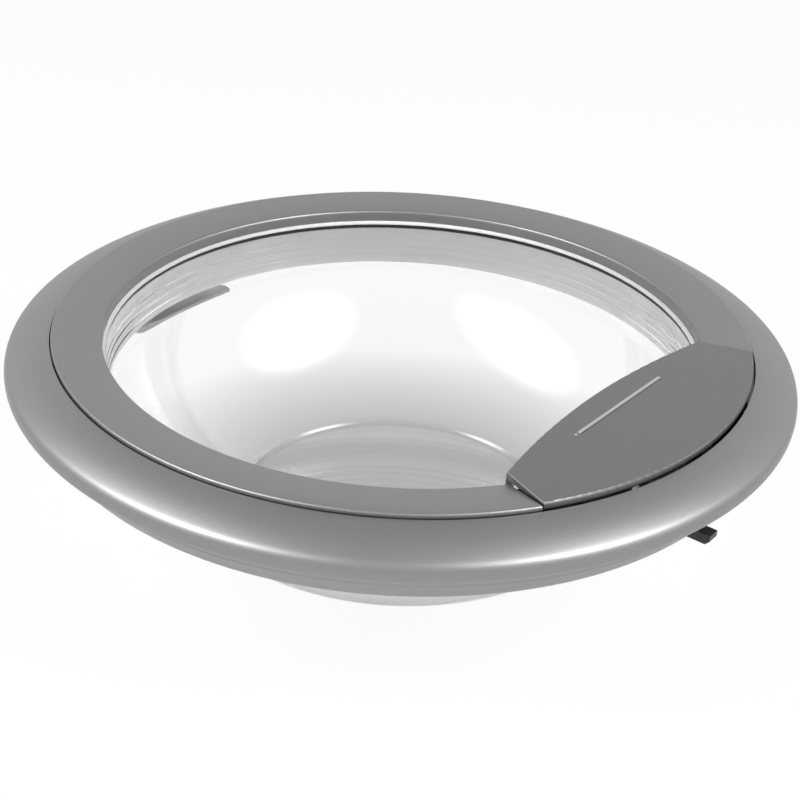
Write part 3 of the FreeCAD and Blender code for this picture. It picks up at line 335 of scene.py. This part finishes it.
class DoorBowl(bpy.types.PropertyGroup):
    """Sizes of the glass bowl."""

    wall: bpy.props.FloatProperty(
        name="Wall", description="Thickness of the glass", subtype="DISTANCE", unit="LENGTH",
        default=4.5 * MILLIMETRE,
    )
    foot: bpy.props.FloatProperty(
        name="Foot", description="Radius of the flat foot", subtype="DISTANCE", unit="LENGTH",
        default=81.04 * MILLIMETRE,
    )
    foot_round: bpy.props.FloatProperty(
        name="Foot round", description="Round at the foot", subtype="DISTANCE", unit="LENGTH",
        default=14.0 * MILLIMETRE,
    )
    arc: bpy.props.FloatProperty(
        name="Wall curve", description="Radius of the wall's curve", subtype="DISTANCE",
        unit="LENGTH", default=140.0 * MILLIMETRE,
    )
    arc_centre: bpy.props.FloatVectorProperty(
        name="Centre of the curve", description="Radius and height of that curve's centre", size=2,
        unit="LENGTH", default=(22.07 * MILLIMETRE, 125.35 * MILLIMETRE),
    )
    neck: bpy.props.FloatProperty(
        name="Neck", description="Inner radius of the neck", subtype="DISTANCE", unit="LENGTH",
        default=147.0 * MILLIMETRE,
    )
    neck_low: bpy.props.FloatProperty(
        name="Neck's lower end", description="Height where the neck meets the curve",
        subtype="DISTANCE", unit="LENGTH", default=72.0 * MILLIMETRE,
    )
    top: bpy.props.FloatProperty(
        name="Top", description="Height of the flange", subtype="DISTANCE", unit="LENGTH",
        default=101.0 * MILLIMETRE,
    )
    flange: bpy.props.FloatProperty(
        name="Flange", description="Radius of the flange", subtype="DISTANCE", unit="LENGTH",
        default=159.0 * MILLIMETRE,
    )
    flange_wall: bpy.props.FloatProperty(
        name="Flange wall", description="Thickness of the flange", subtype="DISTANCE",
        unit="LENGTH", default=5.0 * MILLIMETRE,
    )
    lip: bpy.props.FloatProperty(
        name="Lip", description="Fire polished round of the inner edge", subtype="DISTANCE",
        unit="LENGTH", default=1.6 * MILLIMETRE,
    )
    ring_top: bpy.props.FloatProperty(
        name="First ring", description="Height of the highest pressed ring", subtype="DISTANCE",
        unit="LENGTH", default=90.0 * MILLIMETRE,
    )
    ring_pitch: bpy.props.FloatProperty(
        name="Ring spacing", description="Spacing of the pressed rings", subtype="DISTANCE",
        unit="LENGTH", default=5.0 * MILLIMETRE,
    )
    ring_depth: bpy.props.FloatProperty(
        name="Ring depth", description="Depth of the pressed rings", subtype="DISTANCE",
        unit="LENGTH", default=0.6 * MILLIMETRE,
    )
    rings: bpy.props.IntProperty(
        name="Rings", description="Number of pressed rings", default=3, min=0,
    )
    steps: bpy.props.IntProperty(
        name="Steps", description="Steps of the bowl round its axis", default=360, min=24,
    )


class DoorStage(bpy.types.PropertyGroup):
    """Camera, floor and lamps."""

    camera_place: bpy.props.FloatVectorProperty(
        name="Camera", description="Where the camera stands", subtype="XYZ", unit="LENGTH",
        default=(0.4038, -0.5320, 0.4427),
    )
    azimuth: bpy.props.FloatProperty(
        name="Azimuth", description="Direction of the camera round the door", subtype="ANGLE",
        unit="ROTATION", default=math.radians(37.2),
    )
    elevation: bpy.props.FloatProperty(
        name="Elevation", description="How far the camera looks down", subtype="ANGLE",
        unit="ROTATION", default=0.515405,
    )
    roll: bpy.props.FloatProperty(
        name="Roll", description="Turn of the camera about its view", subtype="ANGLE",
        unit="ROTATION", default=0.0533195,
    )
    lens: bpy.props.FloatProperty(
        name="Lens", description="Focal length", subtype="DISTANCE_CAMERA", default=67.18, min=1.0,
    )
    floor_size: bpy.props.FloatProperty(
        name="Floor", description="Side of the floor", subtype="DISTANCE", unit="LENGTH",
        default=40.0, min=1.0,
    )
    floor_white: bpy.props.FloatProperty(
        name="Floor white", description="Share of plain white in the floor that is seen directly",
        subtype="FACTOR", default=0.93, min=0.0, max=1.0,
    )
    floor_mirrored: bpy.props.FloatProperty(
        name="Floor mirrored",
        description="Share of plain white in the floor that the paint reflects", subtype="FACTOR",
        default=0.45, min=0.0, max=1.0,
    )
    # Painted shadow: how dim the floor's glow is right under the bowl's foot, seen through the glass
    contact_shade: bpy.props.FloatProperty(
        name="Contact shade",
        description="Floor's white right under the bowl's foot, as seen through the glass",
        subtype="FACTOR", default=0.46, min=0.0, max=1.0,
    )
    contact_reach: bpy.props.FloatProperty(
        name="Contact reach", description="How far from the bowl that shade fades",
        subtype="DISTANCE", unit="LENGTH", default=60.0 * MILLIMETRE, min=0.0,
    )
    sky: bpy.props.FloatProperty(
        name="Sky", description="Strength of the light from all round", default=0.2, min=0.0,
    )
    ceiling: bpy.props.FloatProperty(
        name="Ceiling", description="White of the studio overhead, against that of its walls",
        subtype="FACTOR", default=0.66, min=0.0, max=1.0,
    )
    key: bpy.props.FloatProperty(
        name="Soft boxes", description="Power of each soft box", subtype="POWER", unit="POWER",
        default=150.0, min=0.0,
    )


def finish():
    """The door's finish settings."""
    return bpy.context.scene.door_finish


def rounded(centre, radius, start, sweep, steps=EDGE_STEPS):
    """Points of an arc in a section, from one angle through a sweep in degrees."""
    points = []
    for step in range(steps + 1):
        angle = math.radians(start + sweep * step / steps)
        points.append((centre[0] + radius * math.cos(angle), centre[1] + radius * math.sin(angle)))
    return points


def turned(section, start, sweep, steps):
    """A closed section of radius and height, turned about the door's axis from one angle on."""
    shape = bmesh.new()
    corners = [shape.verts.new((radius, 0.0, height)) for radius, height in section]
    sides = [shape.edges.new(pair) for pair in zip(corners, corners[1:] + corners[:1])]
    turn = Matrix.Rotation(start, 3, "Z")
    bmesh.ops.rotate(shape, verts=corners, cent=(0.0, 0.0, 0.0), matrix=turn)
    bmesh.ops.spin(
        shape, geom=corners + sides, cent=(0.0, 0.0, 0.0), axis=(0.0, 0.0, 1.0),
        angle=sweep, steps=steps, use_merge=math.isclose(sweep, 2.0 * math.pi),
    )
    return shape


def settle(shape, name, material, body):
    """A finished piece from a bmesh: faces outwards, smooth but for its corners, riding on a body."""
    bmesh.ops.remove_doubles(shape, verts=shape.verts, dist=MERGE_DISTANCE)
    bare = [edge for edge in shape.edges if not edge.link_faces]
    bmesh.ops.delete(shape, geom=bare, context="EDGES")
    bmesh.ops.recalc_face_normals(shape, faces=shape.faces)
    for face in shape.faces:
        face.smooth = True
    for edge in shape.edges:
        edge.smooth = len(edge.link_faces) == 2 and edge.calc_face_angle() < CORNER_ANGLE
    mesh = bpy.data.meshes.new(name)
    shape.to_mesh(mesh)
    shape.free()
    mesh.materials.append(material)
    piece = bpy.data.objects.new(name, mesh)
    bpy.context.scene.collection.objects.link(piece)
    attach(piece, body)
    return piece


def add_node(tree, kind, **inputs):
    """A shader node with some of its inputs set."""
    node = tree.nodes.new(kind)
    for name, setting in inputs.items():
        node.inputs[name].default_value = setting
    return node


def new_material(name):
    """An empty material with its surface shader and its object coordinates."""
    material = bpy.data.materials.new(name)
    material.use_nodes = True
    tree = material.node_tree
    shader = tree.nodes["Principled BSDF"]
    place = tree.nodes.new("ShaderNodeTexCoord").outputs["Object"]
    return material, tree, shader, place


def grain(tree, place, scale, detail=2.0, stretch=(1.0, 1.0, 1.0)):
    """Noise at a scale per metre, stretched along the axes."""
    mapping = tree.nodes.new("ShaderNodeMapping")
    mapping.inputs["Scale"].default_value = stretch
    tree.links.new(place, mapping.inputs["Vector"])
    noise = add_node(tree, "ShaderNodeTexNoise", Scale=scale, Detail=detail)
    tree.links.new(mapping.outputs["Vector"], noise.inputs["Vector"])
    return noise.outputs["Fac"]


def between(tree, source, low, high):
    """The source from 0 to 1, laid out between two values."""
    spread = tree.nodes.new("ShaderNodeMapRange")
    spread.inputs["To Min"].default_value = low
    spread.inputs["To Max"].default_value = high
    tree.links.new(source, spread.inputs["Value"])
    return spread.outputs["Result"]


def shaded(tree, source, colour, swing):
    """The colour, darker and lighter by a share as the source goes from 0 to 1."""
    ramp = tree.nodes.new("ShaderNodeValToRGB")
    dark, pale = ramp.color_ramp.elements
    dark.position, pale.position = GRAIN_ENDS
    dark.color = [part * (1.0 - swing) for part in colour] + [1.0]
    pale.color = [min(part * (1.0 + swing), 1.0) for part in colour] + [1.0]
    tree.links.new(source, ramp.inputs["Fac"])
    return ramp.outputs["Color"]


def mixed(tree, share, first, second):
    """From the first colour to the second as the share goes from 0 to 1."""
    mix = tree.nodes.new("ShaderNodeMix")
    mix.data_type = "RGBA"
    tree.links.new(share, mix.inputs["Factor"])
    tree.links.new(first, mix.inputs["A"])
    tree.links.new(second, mix.inputs["B"])
    return mix.outputs["Result"]


def bump(tree, shader, source, depth):
    """Relief of a depth in metres."""
    relief = add_node(tree, "ShaderNodeBump", Strength=1.0, Distance=depth)
    tree.links.new(source, relief.inputs["Height"])
    tree.links.new(relief.outputs["Normal"], shader.inputs["Normal"])


def silver_paint(name, shade=1.0, mark_level=None):
    """Satin silver paint with fine metal flake, darkened by shade as painted shade; what stands above
    mark_level is paler.
    """
    material, tree, shader, place = new_material(name)
    look = finish()
    flakes = grain(tree, place, 1.0 / look.flake, detail=1.0)
    colour = shaded(tree, flakes, [part * shade for part in look.silver], FLAKE_SHADE)
    if mark_level is not None:
        height = tree.nodes.new("ShaderNodeSeparateXYZ")
        tree.links.new(place, height.inputs["Vector"])
        above = tree.nodes.new("ShaderNodeMath")
        above.operation = "GREATER_THAN"
        above.inputs[1].default_value = mark_level
        tree.links.new(height.outputs["Z"], above.inputs[0])
        mark = shaded(tree, flakes, look.mark, MARK_SHADE)
        colour = mixed(tree, above.outputs["Value"], colour, mark)
    tree.links.new(colour, shader.inputs["Base Color"])
    wiped = grain(tree, place, WIPED_SCALE, detail=3.0)
    middle = look.silver_roughness
    roughness = between(tree, wiped, middle - WIPED_SWING, middle + WIPED_SWING)
    tree.links.new(roughness, shader.inputs["Roughness"])
    shader.inputs["Metallic"].default_value = look.silver_metal
    bump(tree, shader, flakes, FLAKE_RELIEF)
    return material


def moulded_plastic(name, colour, roughness, bore=None):
    """Moulded plastic with its tool's fine grain, of another, paler colour inside a bore (radius, colour)
    as painted light.
    """
    material, tree, shader, place = new_material(name)
    texture = grain(tree, place, TOOL_SCALE)
    shade = shaded(tree, texture, colour, TOOL_SHADE)
    if bore is not None:
        flat = tree.nodes.new("ShaderNodeMapping")
        flat.inputs["Scale"].default_value = (1.0, 1.0, 0.0)
        tree.links.new(place, flat.inputs["Vector"])
        radius = tree.nodes.new("ShaderNodeVectorMath")
        radius.operation = "LENGTH"
        tree.links.new(flat.outputs["Vector"], radius.inputs[0])
        inside = tree.nodes.new("ShaderNodeMath")
        inside.operation = "LESS_THAN"
        inside.inputs[1].default_value = bore[0]
        tree.links.new(radius.outputs["Value"], inside.inputs[0])
        # Inside the bore the plastic turns paler: painted light
        bare = shaded(tree, texture, bore[1], TOOL_SHADE)
        shade = mixed(tree, inside.outputs["Value"], shade, bare)
    tree.links.new(shade, shader.inputs["Base Color"])
    uneven = grain(tree, place, GLOSS_SCALE)
    gloss = between(tree, uneven, roughness - GLOSS_SWING, roughness + GLOSS_SWING)
    tree.links.new(gloss, shader.inputs["Roughness"])
    bump(tree, shader, texture, TOOL_RELIEF)
    return material


def steel(name, colour, roughness, stretch):
    """Plated steel with drawing marks along the stretched axes."""
    material, tree, shader, place = new_material(name)
    drawn = grain(tree, place, DRAWN_SCALE, detail=3.0, stretch=stretch)
    tree.links.new(shaded(tree, drawn, colour, DRAWN_SHADE), shader.inputs["Base Color"])
    gloss = between(tree, drawn, roughness - DRAWN_SMOOTHER, roughness + DRAWN_ROUGHER)
    tree.links.new(gloss, shader.inputs["Roughness"])
    shader.inputs["Metallic"].default_value = 1.0
    bump(tree, shader, drawn, DRAWN_RELIEF)
    return material


def clear_glass(name):
    """Pressed glass, faintly wavy, with a few wiping marks."""
    material, tree, shader, place = new_material(name)
    shader.inputs["Base Color"].default_value = (*finish().glass, 1.0)
    shader.inputs["Transmission Weight"].default_value = 1.0
    shader.inputs["IOR"].default_value = GLASS_IOR
    smears = grain(tree, place, SMEAR_SCALE, detail=SMEAR_DETAIL)
    tree.links.new(between(tree, smears, 0.0, SMEAR_ROUGHNESS), shader.inputs["Roughness"])
    bump(tree, shader, grain(tree, place, WAVE_SCALE, detail=1.0), WAVE_RELIEF)
    return material


def paint_nodes(names, material):
    """Gives solids of the frame one material."""
    for name in names:
        slots = NODES[name].material_slots
        if not slots:
            raise RuntimeError(f"{name} has no material slot")
        for slot in slots:
            slot.material = material


class DOOR_OT_silver(bpy.types.Operator):
    """Silver paint on the trim ring, the rim and the handle"""

    bl_idname = "door.silver"
    bl_label = "Silver mouldings"

    def execute(self, context):
        plate_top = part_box("handle_leaf")[1].z - MARK_DEPTH
        paint = silver_paint("silver_paint")
        paint_nodes(("outer_rim",), paint)
        ring = self.make_ring(context.scene.door_ring, paint)
        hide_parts("trim_ring")
        face = self.make_face(context.scene.door_rim, paint)
        # The handle's paint is the rim's silver darkened by a share, as painted shade
        shaded_handle_paint = silver_paint("shaded_handle_paint", finish().painted_shade_of_handle, plate_top)
        paint_nodes(("handle_leaf",), shaded_handle_paint)
        return {"FINISHED"}

    def make_face(self, sizes, paint):
        """The rim's crown, rolled edge and skirt as one smooth painted layer."""
        across = sizes.shoulder[0] - sizes.crown_centre[0]
        up = sizes.shoulder[1] - sizes.crown_centre[1]
        crown_start = math.degrees(math.atan2(up, across))
        start = math.degrees(sizes.roll_start)
        sweep = math.degrees(sizes.roll_end) - start

        def layer(offset):
            return [
                *rounded(
                    sizes.crown_centre, sizes.crown + offset,
                    crown_start, start - crown_start, FACE_STEPS,
                ),
                *rounded(sizes.roll_centre, sizes.roll + offset, start, sweep, FACE_STEPS)[1:],
                (sizes.skirt_top[0] + offset, sizes.skirt_top[1] - offset),
                (sizes.skirt_low[0] + offset, sizes.skirt_low[1]),
            ]

        section = layer(sizes.coat) + layer(-sizes.backing)[::-1]
        shape = turned(section, 0.0, 2.0 * math.pi, sizes.steps)
        return settle(shape, "rim_paint", paint, "door")

    def make_ring(self, sizes, paint):
        """The trim ring with fine rounds, cut open where the handle lies."""
        seat = sizes.height - sizes.depth
        inner_top = sizes.height - sizes.dish
        edge_centre = (sizes.outside - sizes.edge, sizes.height - sizes.edge)
        lip_centre = (sizes.opening + sizes.lip, inner_top - sizes.lip)
        section = [
            *rounded(edge_centre, sizes.edge, 0.0, 90.0),
            *rounded(lip_centre, sizes.lip, 90.0, 90.0),
            (sizes.opening, seat),
            (sizes.opening + sizes.wall, seat),
            (sizes.opening + sizes.wall, inner_top - sizes.wall),
            (sizes.outside - sizes.wall, sizes.height - sizes.wall),
            (sizes.outside - sizes.wall, seat),
            (sizes.outside, seat),
        ]
        shape = turned(section, sizes.splay, 2.0 * (math.pi - sizes.splay), sizes.steps)
        for side in (1.0, -1.0):
            middles = [(face, face.calc_center_median()) for face in shape.faces]
            end = [face for face, middle in middles if middle.x > 0.0 and middle.y * side > 0.0]
            edges = dict.fromkeys(edge for face in end for edge in face.edges)
            points = dict.fromkeys(point for face in end for point in face.verts)
            cut = bmesh.ops.bisect_plane(
                shape,
                geom=[*end, *edges, *points],
                plane_co=(sizes.gap_corner[0], sizes.gap_corner[1] * side, 0.0),
                plane_no=(-math.sin(sizes.splay), math.cos(sizes.splay) * side, 0.0),
                clear_inner=True,
            )
            outline = [item for item in cut["geom_cut"] if isinstance(item, bmesh.types.BMEdge)]
            bmesh.ops.edgeloop_fill(shape, edges=outline)
        return settle(shape, "trim_ring_fine", paint, "door")


class DOOR_OT_plastics(bpy.types.Operator):
    """Plastic of the rear frame, the latch and the hinge bushes"""

    bl_idname = "door.plastics"
    bl_label = "Plastics"

    def execute(self, context):
        look = finish()
        # The frame is paler inside its bore, as painted light
        bore = (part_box("glass_bowl")[1].y - BORE_MARGIN, look.bore_painted_light)
        plastic = moulded_plastic("frame_plastic", look.frame_grey, FRAME_ROUGHNESS, bore)
        paint_nodes(("rear_frame",), plastic)
        wall = self.make_wall(context.scene.door_frame, context.scene.door_rim, plastic)
        paint_nodes(BLACK_NODES, moulded_plastic("latch_plastic", look.black, LATCH_ROUGHNESS))
        paint_nodes(BUSH_NODES, moulded_plastic("bush_plastic", look.bush, BUSH_ROUGHNESS))
        return {"FINISHED"}

    def make_wall(self, sizes, rim, plastic):
        """The smooth outside of the rear frame, open at the hinge."""

        def layer(offset):
            return [
                (sizes.top[0] + offset, sizes.top[1]),
                *rounded(sizes.corner, sizes.corner_round + offset, 0.0, -90.0),
            ]

        section = layer(rim.coat) + layer(-rim.backing)[::-1]
        start = sizes.hinge_gap - math.pi
        shape = turned(section, start, 2.0 * (math.pi - sizes.hinge_gap), sizes.steps)
        ends = [edge for edge in shape.edges if len(edge.link_faces) == 1]
        bmesh.ops.edgeloop_fill(shape, edges=ends)
        return settle(shape, "frame_wall", plastic, "door")


class DOOR_OT_steel(bpy.types.Operator):
    """Plated steel of pins, springs, screws and hinge"""

    bl_idname = "door.steel"
    bl_label = "Steel"

    def execute(self, context):
        look = finish()
        bright = steel("bright_steel", look.bright_steel, BRIGHT_ROUGHNESS, ALONG_PINS)
        paint_nodes(BRIGHT_NODES, bright)
        plated = steel("plated_steel", look.plated_steel, PLATED_ROUGHNESS, ALONG_SHEET)
        paint_nodes(PLATED_NODES, plated)
        return {"FINISHED"}


class DOOR_OT_glass(bpy.types.Operator):
    """Clear glass of the bowl"""

    bl_idname = "door.glass"
    bl_label = "Glass bowl"

    def execute(self, context):
        sizes = context.scene.door_bowl
        section = self.outer_wall(sizes) + self.inner_wall(sizes)
        shape = turned(section, 0.0, 2.0 * math.pi, sizes.steps)
        for face in shape.faces:
            middle = face.calc_center_median()
            clamped = middle.xy.length > sizes.neck + sizes.wall and middle.z > sizes.neck_low
            if clamped or middle.z > sizes.top - 2.0 * sizes.lip:
                face.material_index = 1
        bowl = settle(shape, "glass_bowl_fine", clear_glass("bowl_glass"), "door")
        ground = moulded_plastic("ground_flange", finish().ground_glass, FLANGE_ROUGHNESS)
        bowl.data.materials.append(ground)
        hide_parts("glass_bowl")
        return {"FINISHED"}

    def arc_angle(self, sizes, radius, height):
        """Direction of a point from the centre of the wall's curve, in degrees."""
        return math.degrees(math.atan2(height - sizes.arc_centre[1], radius - sizes.arc_centre[0]))

    def outer_wall(self, sizes):
        """From the middle of the foot up the outside to the flange."""
        outside = sizes.neck + sizes.wall
        low_end = self.arc_angle(sizes, sizes.foot, 0.0)
        high_end = self.arc_angle(sizes, outside, sizes.neck_low)
        foot_sweep = 90.0 + low_end
        return [
            (0.0, 0.0),
            *rounded((sizes.foot, sizes.foot_round), sizes.foot_round, -90.0, foot_sweep),
            *rounded(sizes.arc_centre, sizes.arc, low_end, high_end - low_end, WALL_STEPS)[1:],
            (outside, sizes.top - sizes.flange_wall),
            (sizes.flange, sizes.top - sizes.flange_wall),
            (sizes.flange, sizes.top),
        ]

    def inner_wall(self, sizes):
        """From the lip down the ringed neck and the inside to the middle of the foot."""
        inside = sizes.arc - sizes.wall
        points = rounded((sizes.neck + sizes.lip, sizes.top - sizes.lip), sizes.lip, 90.0, 90.0)
        for ring in range(sizes.rings):
            height = sizes.ring_top - ring * sizes.ring_pitch
            points += [
                (sizes.neck + depth * sizes.ring_depth, height + rise * sizes.ring_depth)
                for depth, rise in RING_HOLLOW
            ]
        high_end = self.arc_angle(sizes, sizes.neck, sizes.neck_low)
        low_end = self.arc_angle(sizes, sizes.foot, 0.0)
        points += rounded(sizes.arc_centre, inside, high_end, low_end - high_end, WALL_STEPS)
        hollow = sizes.foot_round - sizes.wall
        points += rounded((sizes.foot, sizes.foot_round), hollow, low_end, -90.0 - low_end)[1:]
        points.append((0.0, sizes.wall))
        return points


def look_from(azimuth, elevation):
    """Direction from the door towards a place at an azimuth and elevation."""
    return Vector((
        math.sin(azimuth) * math.cos(elevation),
        -math.cos(azimuth) * math.cos(elevation),
        math.sin(elevation),
    ))


def soft_box(name, azimuth, elevation, size, power):
    """A lamp that faces the door, bright in its middle and dark at its edge."""
    lamp = bpy.data.lights.new(name, "AREA")
    lamp.shape = "RECTANGLE"
    lamp.size = size[0]
    lamp.size_y = size[1]
    lamp.energy = power
    lamp.use_nodes = True
    tree = lamp.node_tree
    across = tree.nodes.new("ShaderNodeNewGeometry").outputs["Parametric"]
    centred = tree.nodes.new("ShaderNodeMapping")
    centred.inputs["Location"].default_value = (-1.0, -1.0, 0.0)
    centred.inputs["Scale"].default_value = (2.0, 2.0, 0.0)
    tree.links.new(across, centred.inputs["Vector"])
    fall = tree.nodes.new("ShaderNodeTexGradient")
    fall.gradient_type = "QUADRATIC_SPHERE"
    tree.links.new(centred.outputs["Vector"], fall.inputs["Vector"])
    tree.links.new(fall.outputs["Fac"], tree.nodes["Emission"].inputs["Strength"])
    holder = bpy.data.objects.new(name, lamp)
    bpy.context.scene.collection.objects.link(holder)
    direction = look_from(math.radians(azimuth), math.radians(elevation))
    holder.location = direction * LAMP_DISTANCE
    holder.rotation_euler = direction.to_track_quat("Z", "Y").to_euler()


def scaled(tree, source, factor):
    """The source times a factor."""
    times = tree.nodes.new("ShaderNodeMath")
    times.operation = "MULTIPLY"
    times.inputs[1].default_value = factor
    tree.links.new(source, times.inputs[0])
    return times.outputs["Value"]


def seen_directly(tree, camera, mirror, glass):
    """The share of plain white for a ray from the camera, from a reflection and through glass."""
    rays = tree.nodes.new("ShaderNodeLightPath")
    total = scaled(tree, rays.outputs["Is Camera Ray"], camera)
    for name, weight in (("Is Glossy Ray", mirror), ("Is Transmission Ray", glass - mirror)):
        added = tree.nodes.new("ShaderNodeMath")
        added.operation = "ADD"
        tree.links.new(total, added.inputs[0])
        tree.links.new(scaled(tree, rays.outputs[name], weight), added.inputs[1])
        total = added.outputs["Value"]
    return total


class DOOR_OT_stage(bpy.types.Operator):
    """White studio with a pale floor, soft boxes and the camera"""

    bl_idname = "door.stage"
    bl_label = "Stage"

    def execute(self, context):
        stage = context.scene.door_stage
        self.make_floor(stage)
        self.make_sky(context.scene, stage)
        for name, (azimuth, elevation, size) in SOFT_BOXES.items():
            soft_box(name, azimuth, elevation, size, stage.key)
        self.make_camera(context.scene, stage)
        context.scene.view_settings.view_transform = "Standard"
        return {"FINISHED"}

    def make_floor(self, stage):
        """A pale floor under the foot of the bowl, which keeps the door's shadow; seen through the glass,
        the shade under the foot is a painted shadow from ambient occlusion.
        """
        sheet = bmesh.new()
        bmesh.ops.create_grid(sheet, x_segments=1, y_segments=1, size=stage.floor_size / 2)
        bmesh.ops.translate(sheet, verts=sheet.verts, vec=(0.0, 0.0, -FLOOR_DROP))
        mesh = bpy.data.meshes.new("floor")
        sheet.to_mesh(mesh)
        sheet.free()
        floor = bpy.data.objects.new("floor", mesh)
        bpy.context.scene.collection.objects.link(floor)
        material, tree, shader, _ = new_material("floor_white")
        shader.inputs["Base Color"].default_value = FLOOR_COLOUR
        shader.inputs["Roughness"].default_value = FLOOR_ROUGHNESS
        glow = add_node(tree, "ShaderNodeEmission", Strength=1.0)
        mix = tree.nodes.new("ShaderNodeMixShader")
        plain = seen_directly(tree, stage.floor_white, stage.floor_mirrored, 1.0)
        tree.links.new(plain, mix.inputs["Fac"])
        # Seen through the glass the floor is all glow, dimmer near the bowl by ambient occlusion: a
        # painted shadow under its foot
        contact = add_node(tree, "ShaderNodeAmbientOcclusion", Distance=stage.contact_reach)
        through = tree.nodes.new("ShaderNodeLightPath").outputs["Is Transmission Ray"]
        shade = tree.nodes.new("ShaderNodeMix")
        tree.links.new(through, shade.inputs["Factor"])
        shade.inputs["A"].default_value = 1.0
        under = between(tree, contact.outputs["AO"], stage.contact_shade, OPEN_FLOOR)
        tree.links.new(under, shade.inputs["B"])
        tree.links.new(shade.outputs["Result"], glow.inputs["Strength"])
        tree.links.new(shader.outputs["BSDF"], mix.inputs[1])
        tree.links.new(glow.outputs["Emission"], mix.inputs[2])
        tree.links.new(mix.outputs["Shader"], tree.nodes["Material Output"].inputs["Surface"])
        mesh.materials.append(material)

    def make_sky(self, scene, stage):
        """Even light from all round, and white where it is seen."""
        world = bpy.data.worlds.new("studio")
        world.use_nodes = True
        tree = world.node_tree
        soft = tree.nodes["Background"]
        soft.inputs["Color"].default_value = WHITE
        soft.inputs["Strength"].default_value = stage.sky
        white = add_node(tree, "ShaderNodeBackground", Strength=1.0)
        white.inputs["Color"].default_value = WHITE
        mix = tree.nodes.new("ShaderNodeMixShader")
        tree.links.new(seen_directly(tree, 1.0, 1.0, 1.0), mix.inputs["Fac"])
        height = tree.nodes.new("ShaderNodeSeparateXYZ")
        direction = tree.nodes.new("ShaderNodeTexCoord").outputs["Generated"]
        tree.links.new(direction, height.inputs["Vector"])
        ceiling = tree.nodes.new("ShaderNodeMapRange")
        ceiling.interpolation_type = "SMOOTHSTEP"
        ceiling.inputs["From Min"].default_value = CEILING_HEIGHTS[0]
        ceiling.inputs["From Max"].default_value = CEILING_HEIGHTS[1]
        ceiling.inputs["To Min"].default_value = 1.0
        ceiling.inputs["To Max"].default_value = stage.ceiling
        tree.links.new(height.outputs["Z"], ceiling.inputs["Value"])
        tree.links.new(ceiling.outputs["Result"], white.inputs["Strength"])
        tree.links.new(soft.outputs["Background"], mix.inputs[1])
        tree.links.new(white.outputs["Background"], mix.inputs[2])
        tree.links.new(mix.outputs["Shader"], tree.nodes["World Output"].inputs["Surface"])
        scene.world = world

    def make_camera(self, scene, stage):
        """The camera of the photograph."""
        lens = bpy.data.cameras.new("camera")
        lens.lens = stage.lens
        lens.clip_start = CLIP_START
        lens.clip_end = CLIP_END
        camera = bpy.data.objects.new("camera", lens)
        scene.collection.objects.link(camera)
        turn = (
            Matrix.Rotation(stage.azimuth, 4, "Z")
            @ Matrix.Rotation(math.pi / 2 - stage.elevation, 4, "X")
            @ Matrix.Rotation(stage.roll, 4, "Z")
        )
        camera.matrix_world = Matrix.Translation(stage.camera_place) @ turn
        scene.camera = camera


SETTINGS = {
    "door_finish": DoorFinish,
    "door_ring": DoorRing,
    "door_rim": DoorRim,
    "door_frame": DoorFrame,
    "door_bowl": DoorBowl,
    "door_stage": DoorStage,
}
OPERATORS = (DOOR_OT_silver, DOOR_OT_plastics, DOOR_OT_steel, DOOR_OT_glass, DOOR_OT_stage)


class DOOR_PT_panel(bpy.types.Panel):
    """Steps that dress the door"""

    bl_idname = "DOOR_PT_panel"
    bl_label = "Washing machine door"
    bl_space_type = "VIEW_3D"
    bl_region_type = "UI"
    bl_category = "Door"

    def draw(self, context):
        for group in SETTINGS:
            settings = getattr(context.scene, group)
            for name in settings.bl_rna.properties.keys():
                if name not in {"rna_type", "name"}:
                    self.layout.prop(settings, name)
        for operator in OPERATORS:
            self.layout.operator(operator.bl_idname)


CLASSES = (*SETTINGS.values(), *OPERATORS, DOOR_PT_panel)


def register():
    for item in CLASSES:
        bpy.utils.register_class(item)
    for name, group in SETTINGS.items():
        setattr(bpy.types.Scene, name, bpy.props.PointerProperty(type=group))


def unregister():
    for name in SETTINGS:
        delattr(bpy.types.Scene, name)
    for item in reversed(CLASSES):
        bpy.utils.unregister_class(item)


def main():
    register()
    bpy.ops.door.silver()
    bpy.ops.door.plastics()
    bpy.ops.door.steel()
    bpy.ops.door.glass()
    bpy.ops.door.stage()


if __name__ == "__main__":
    main()
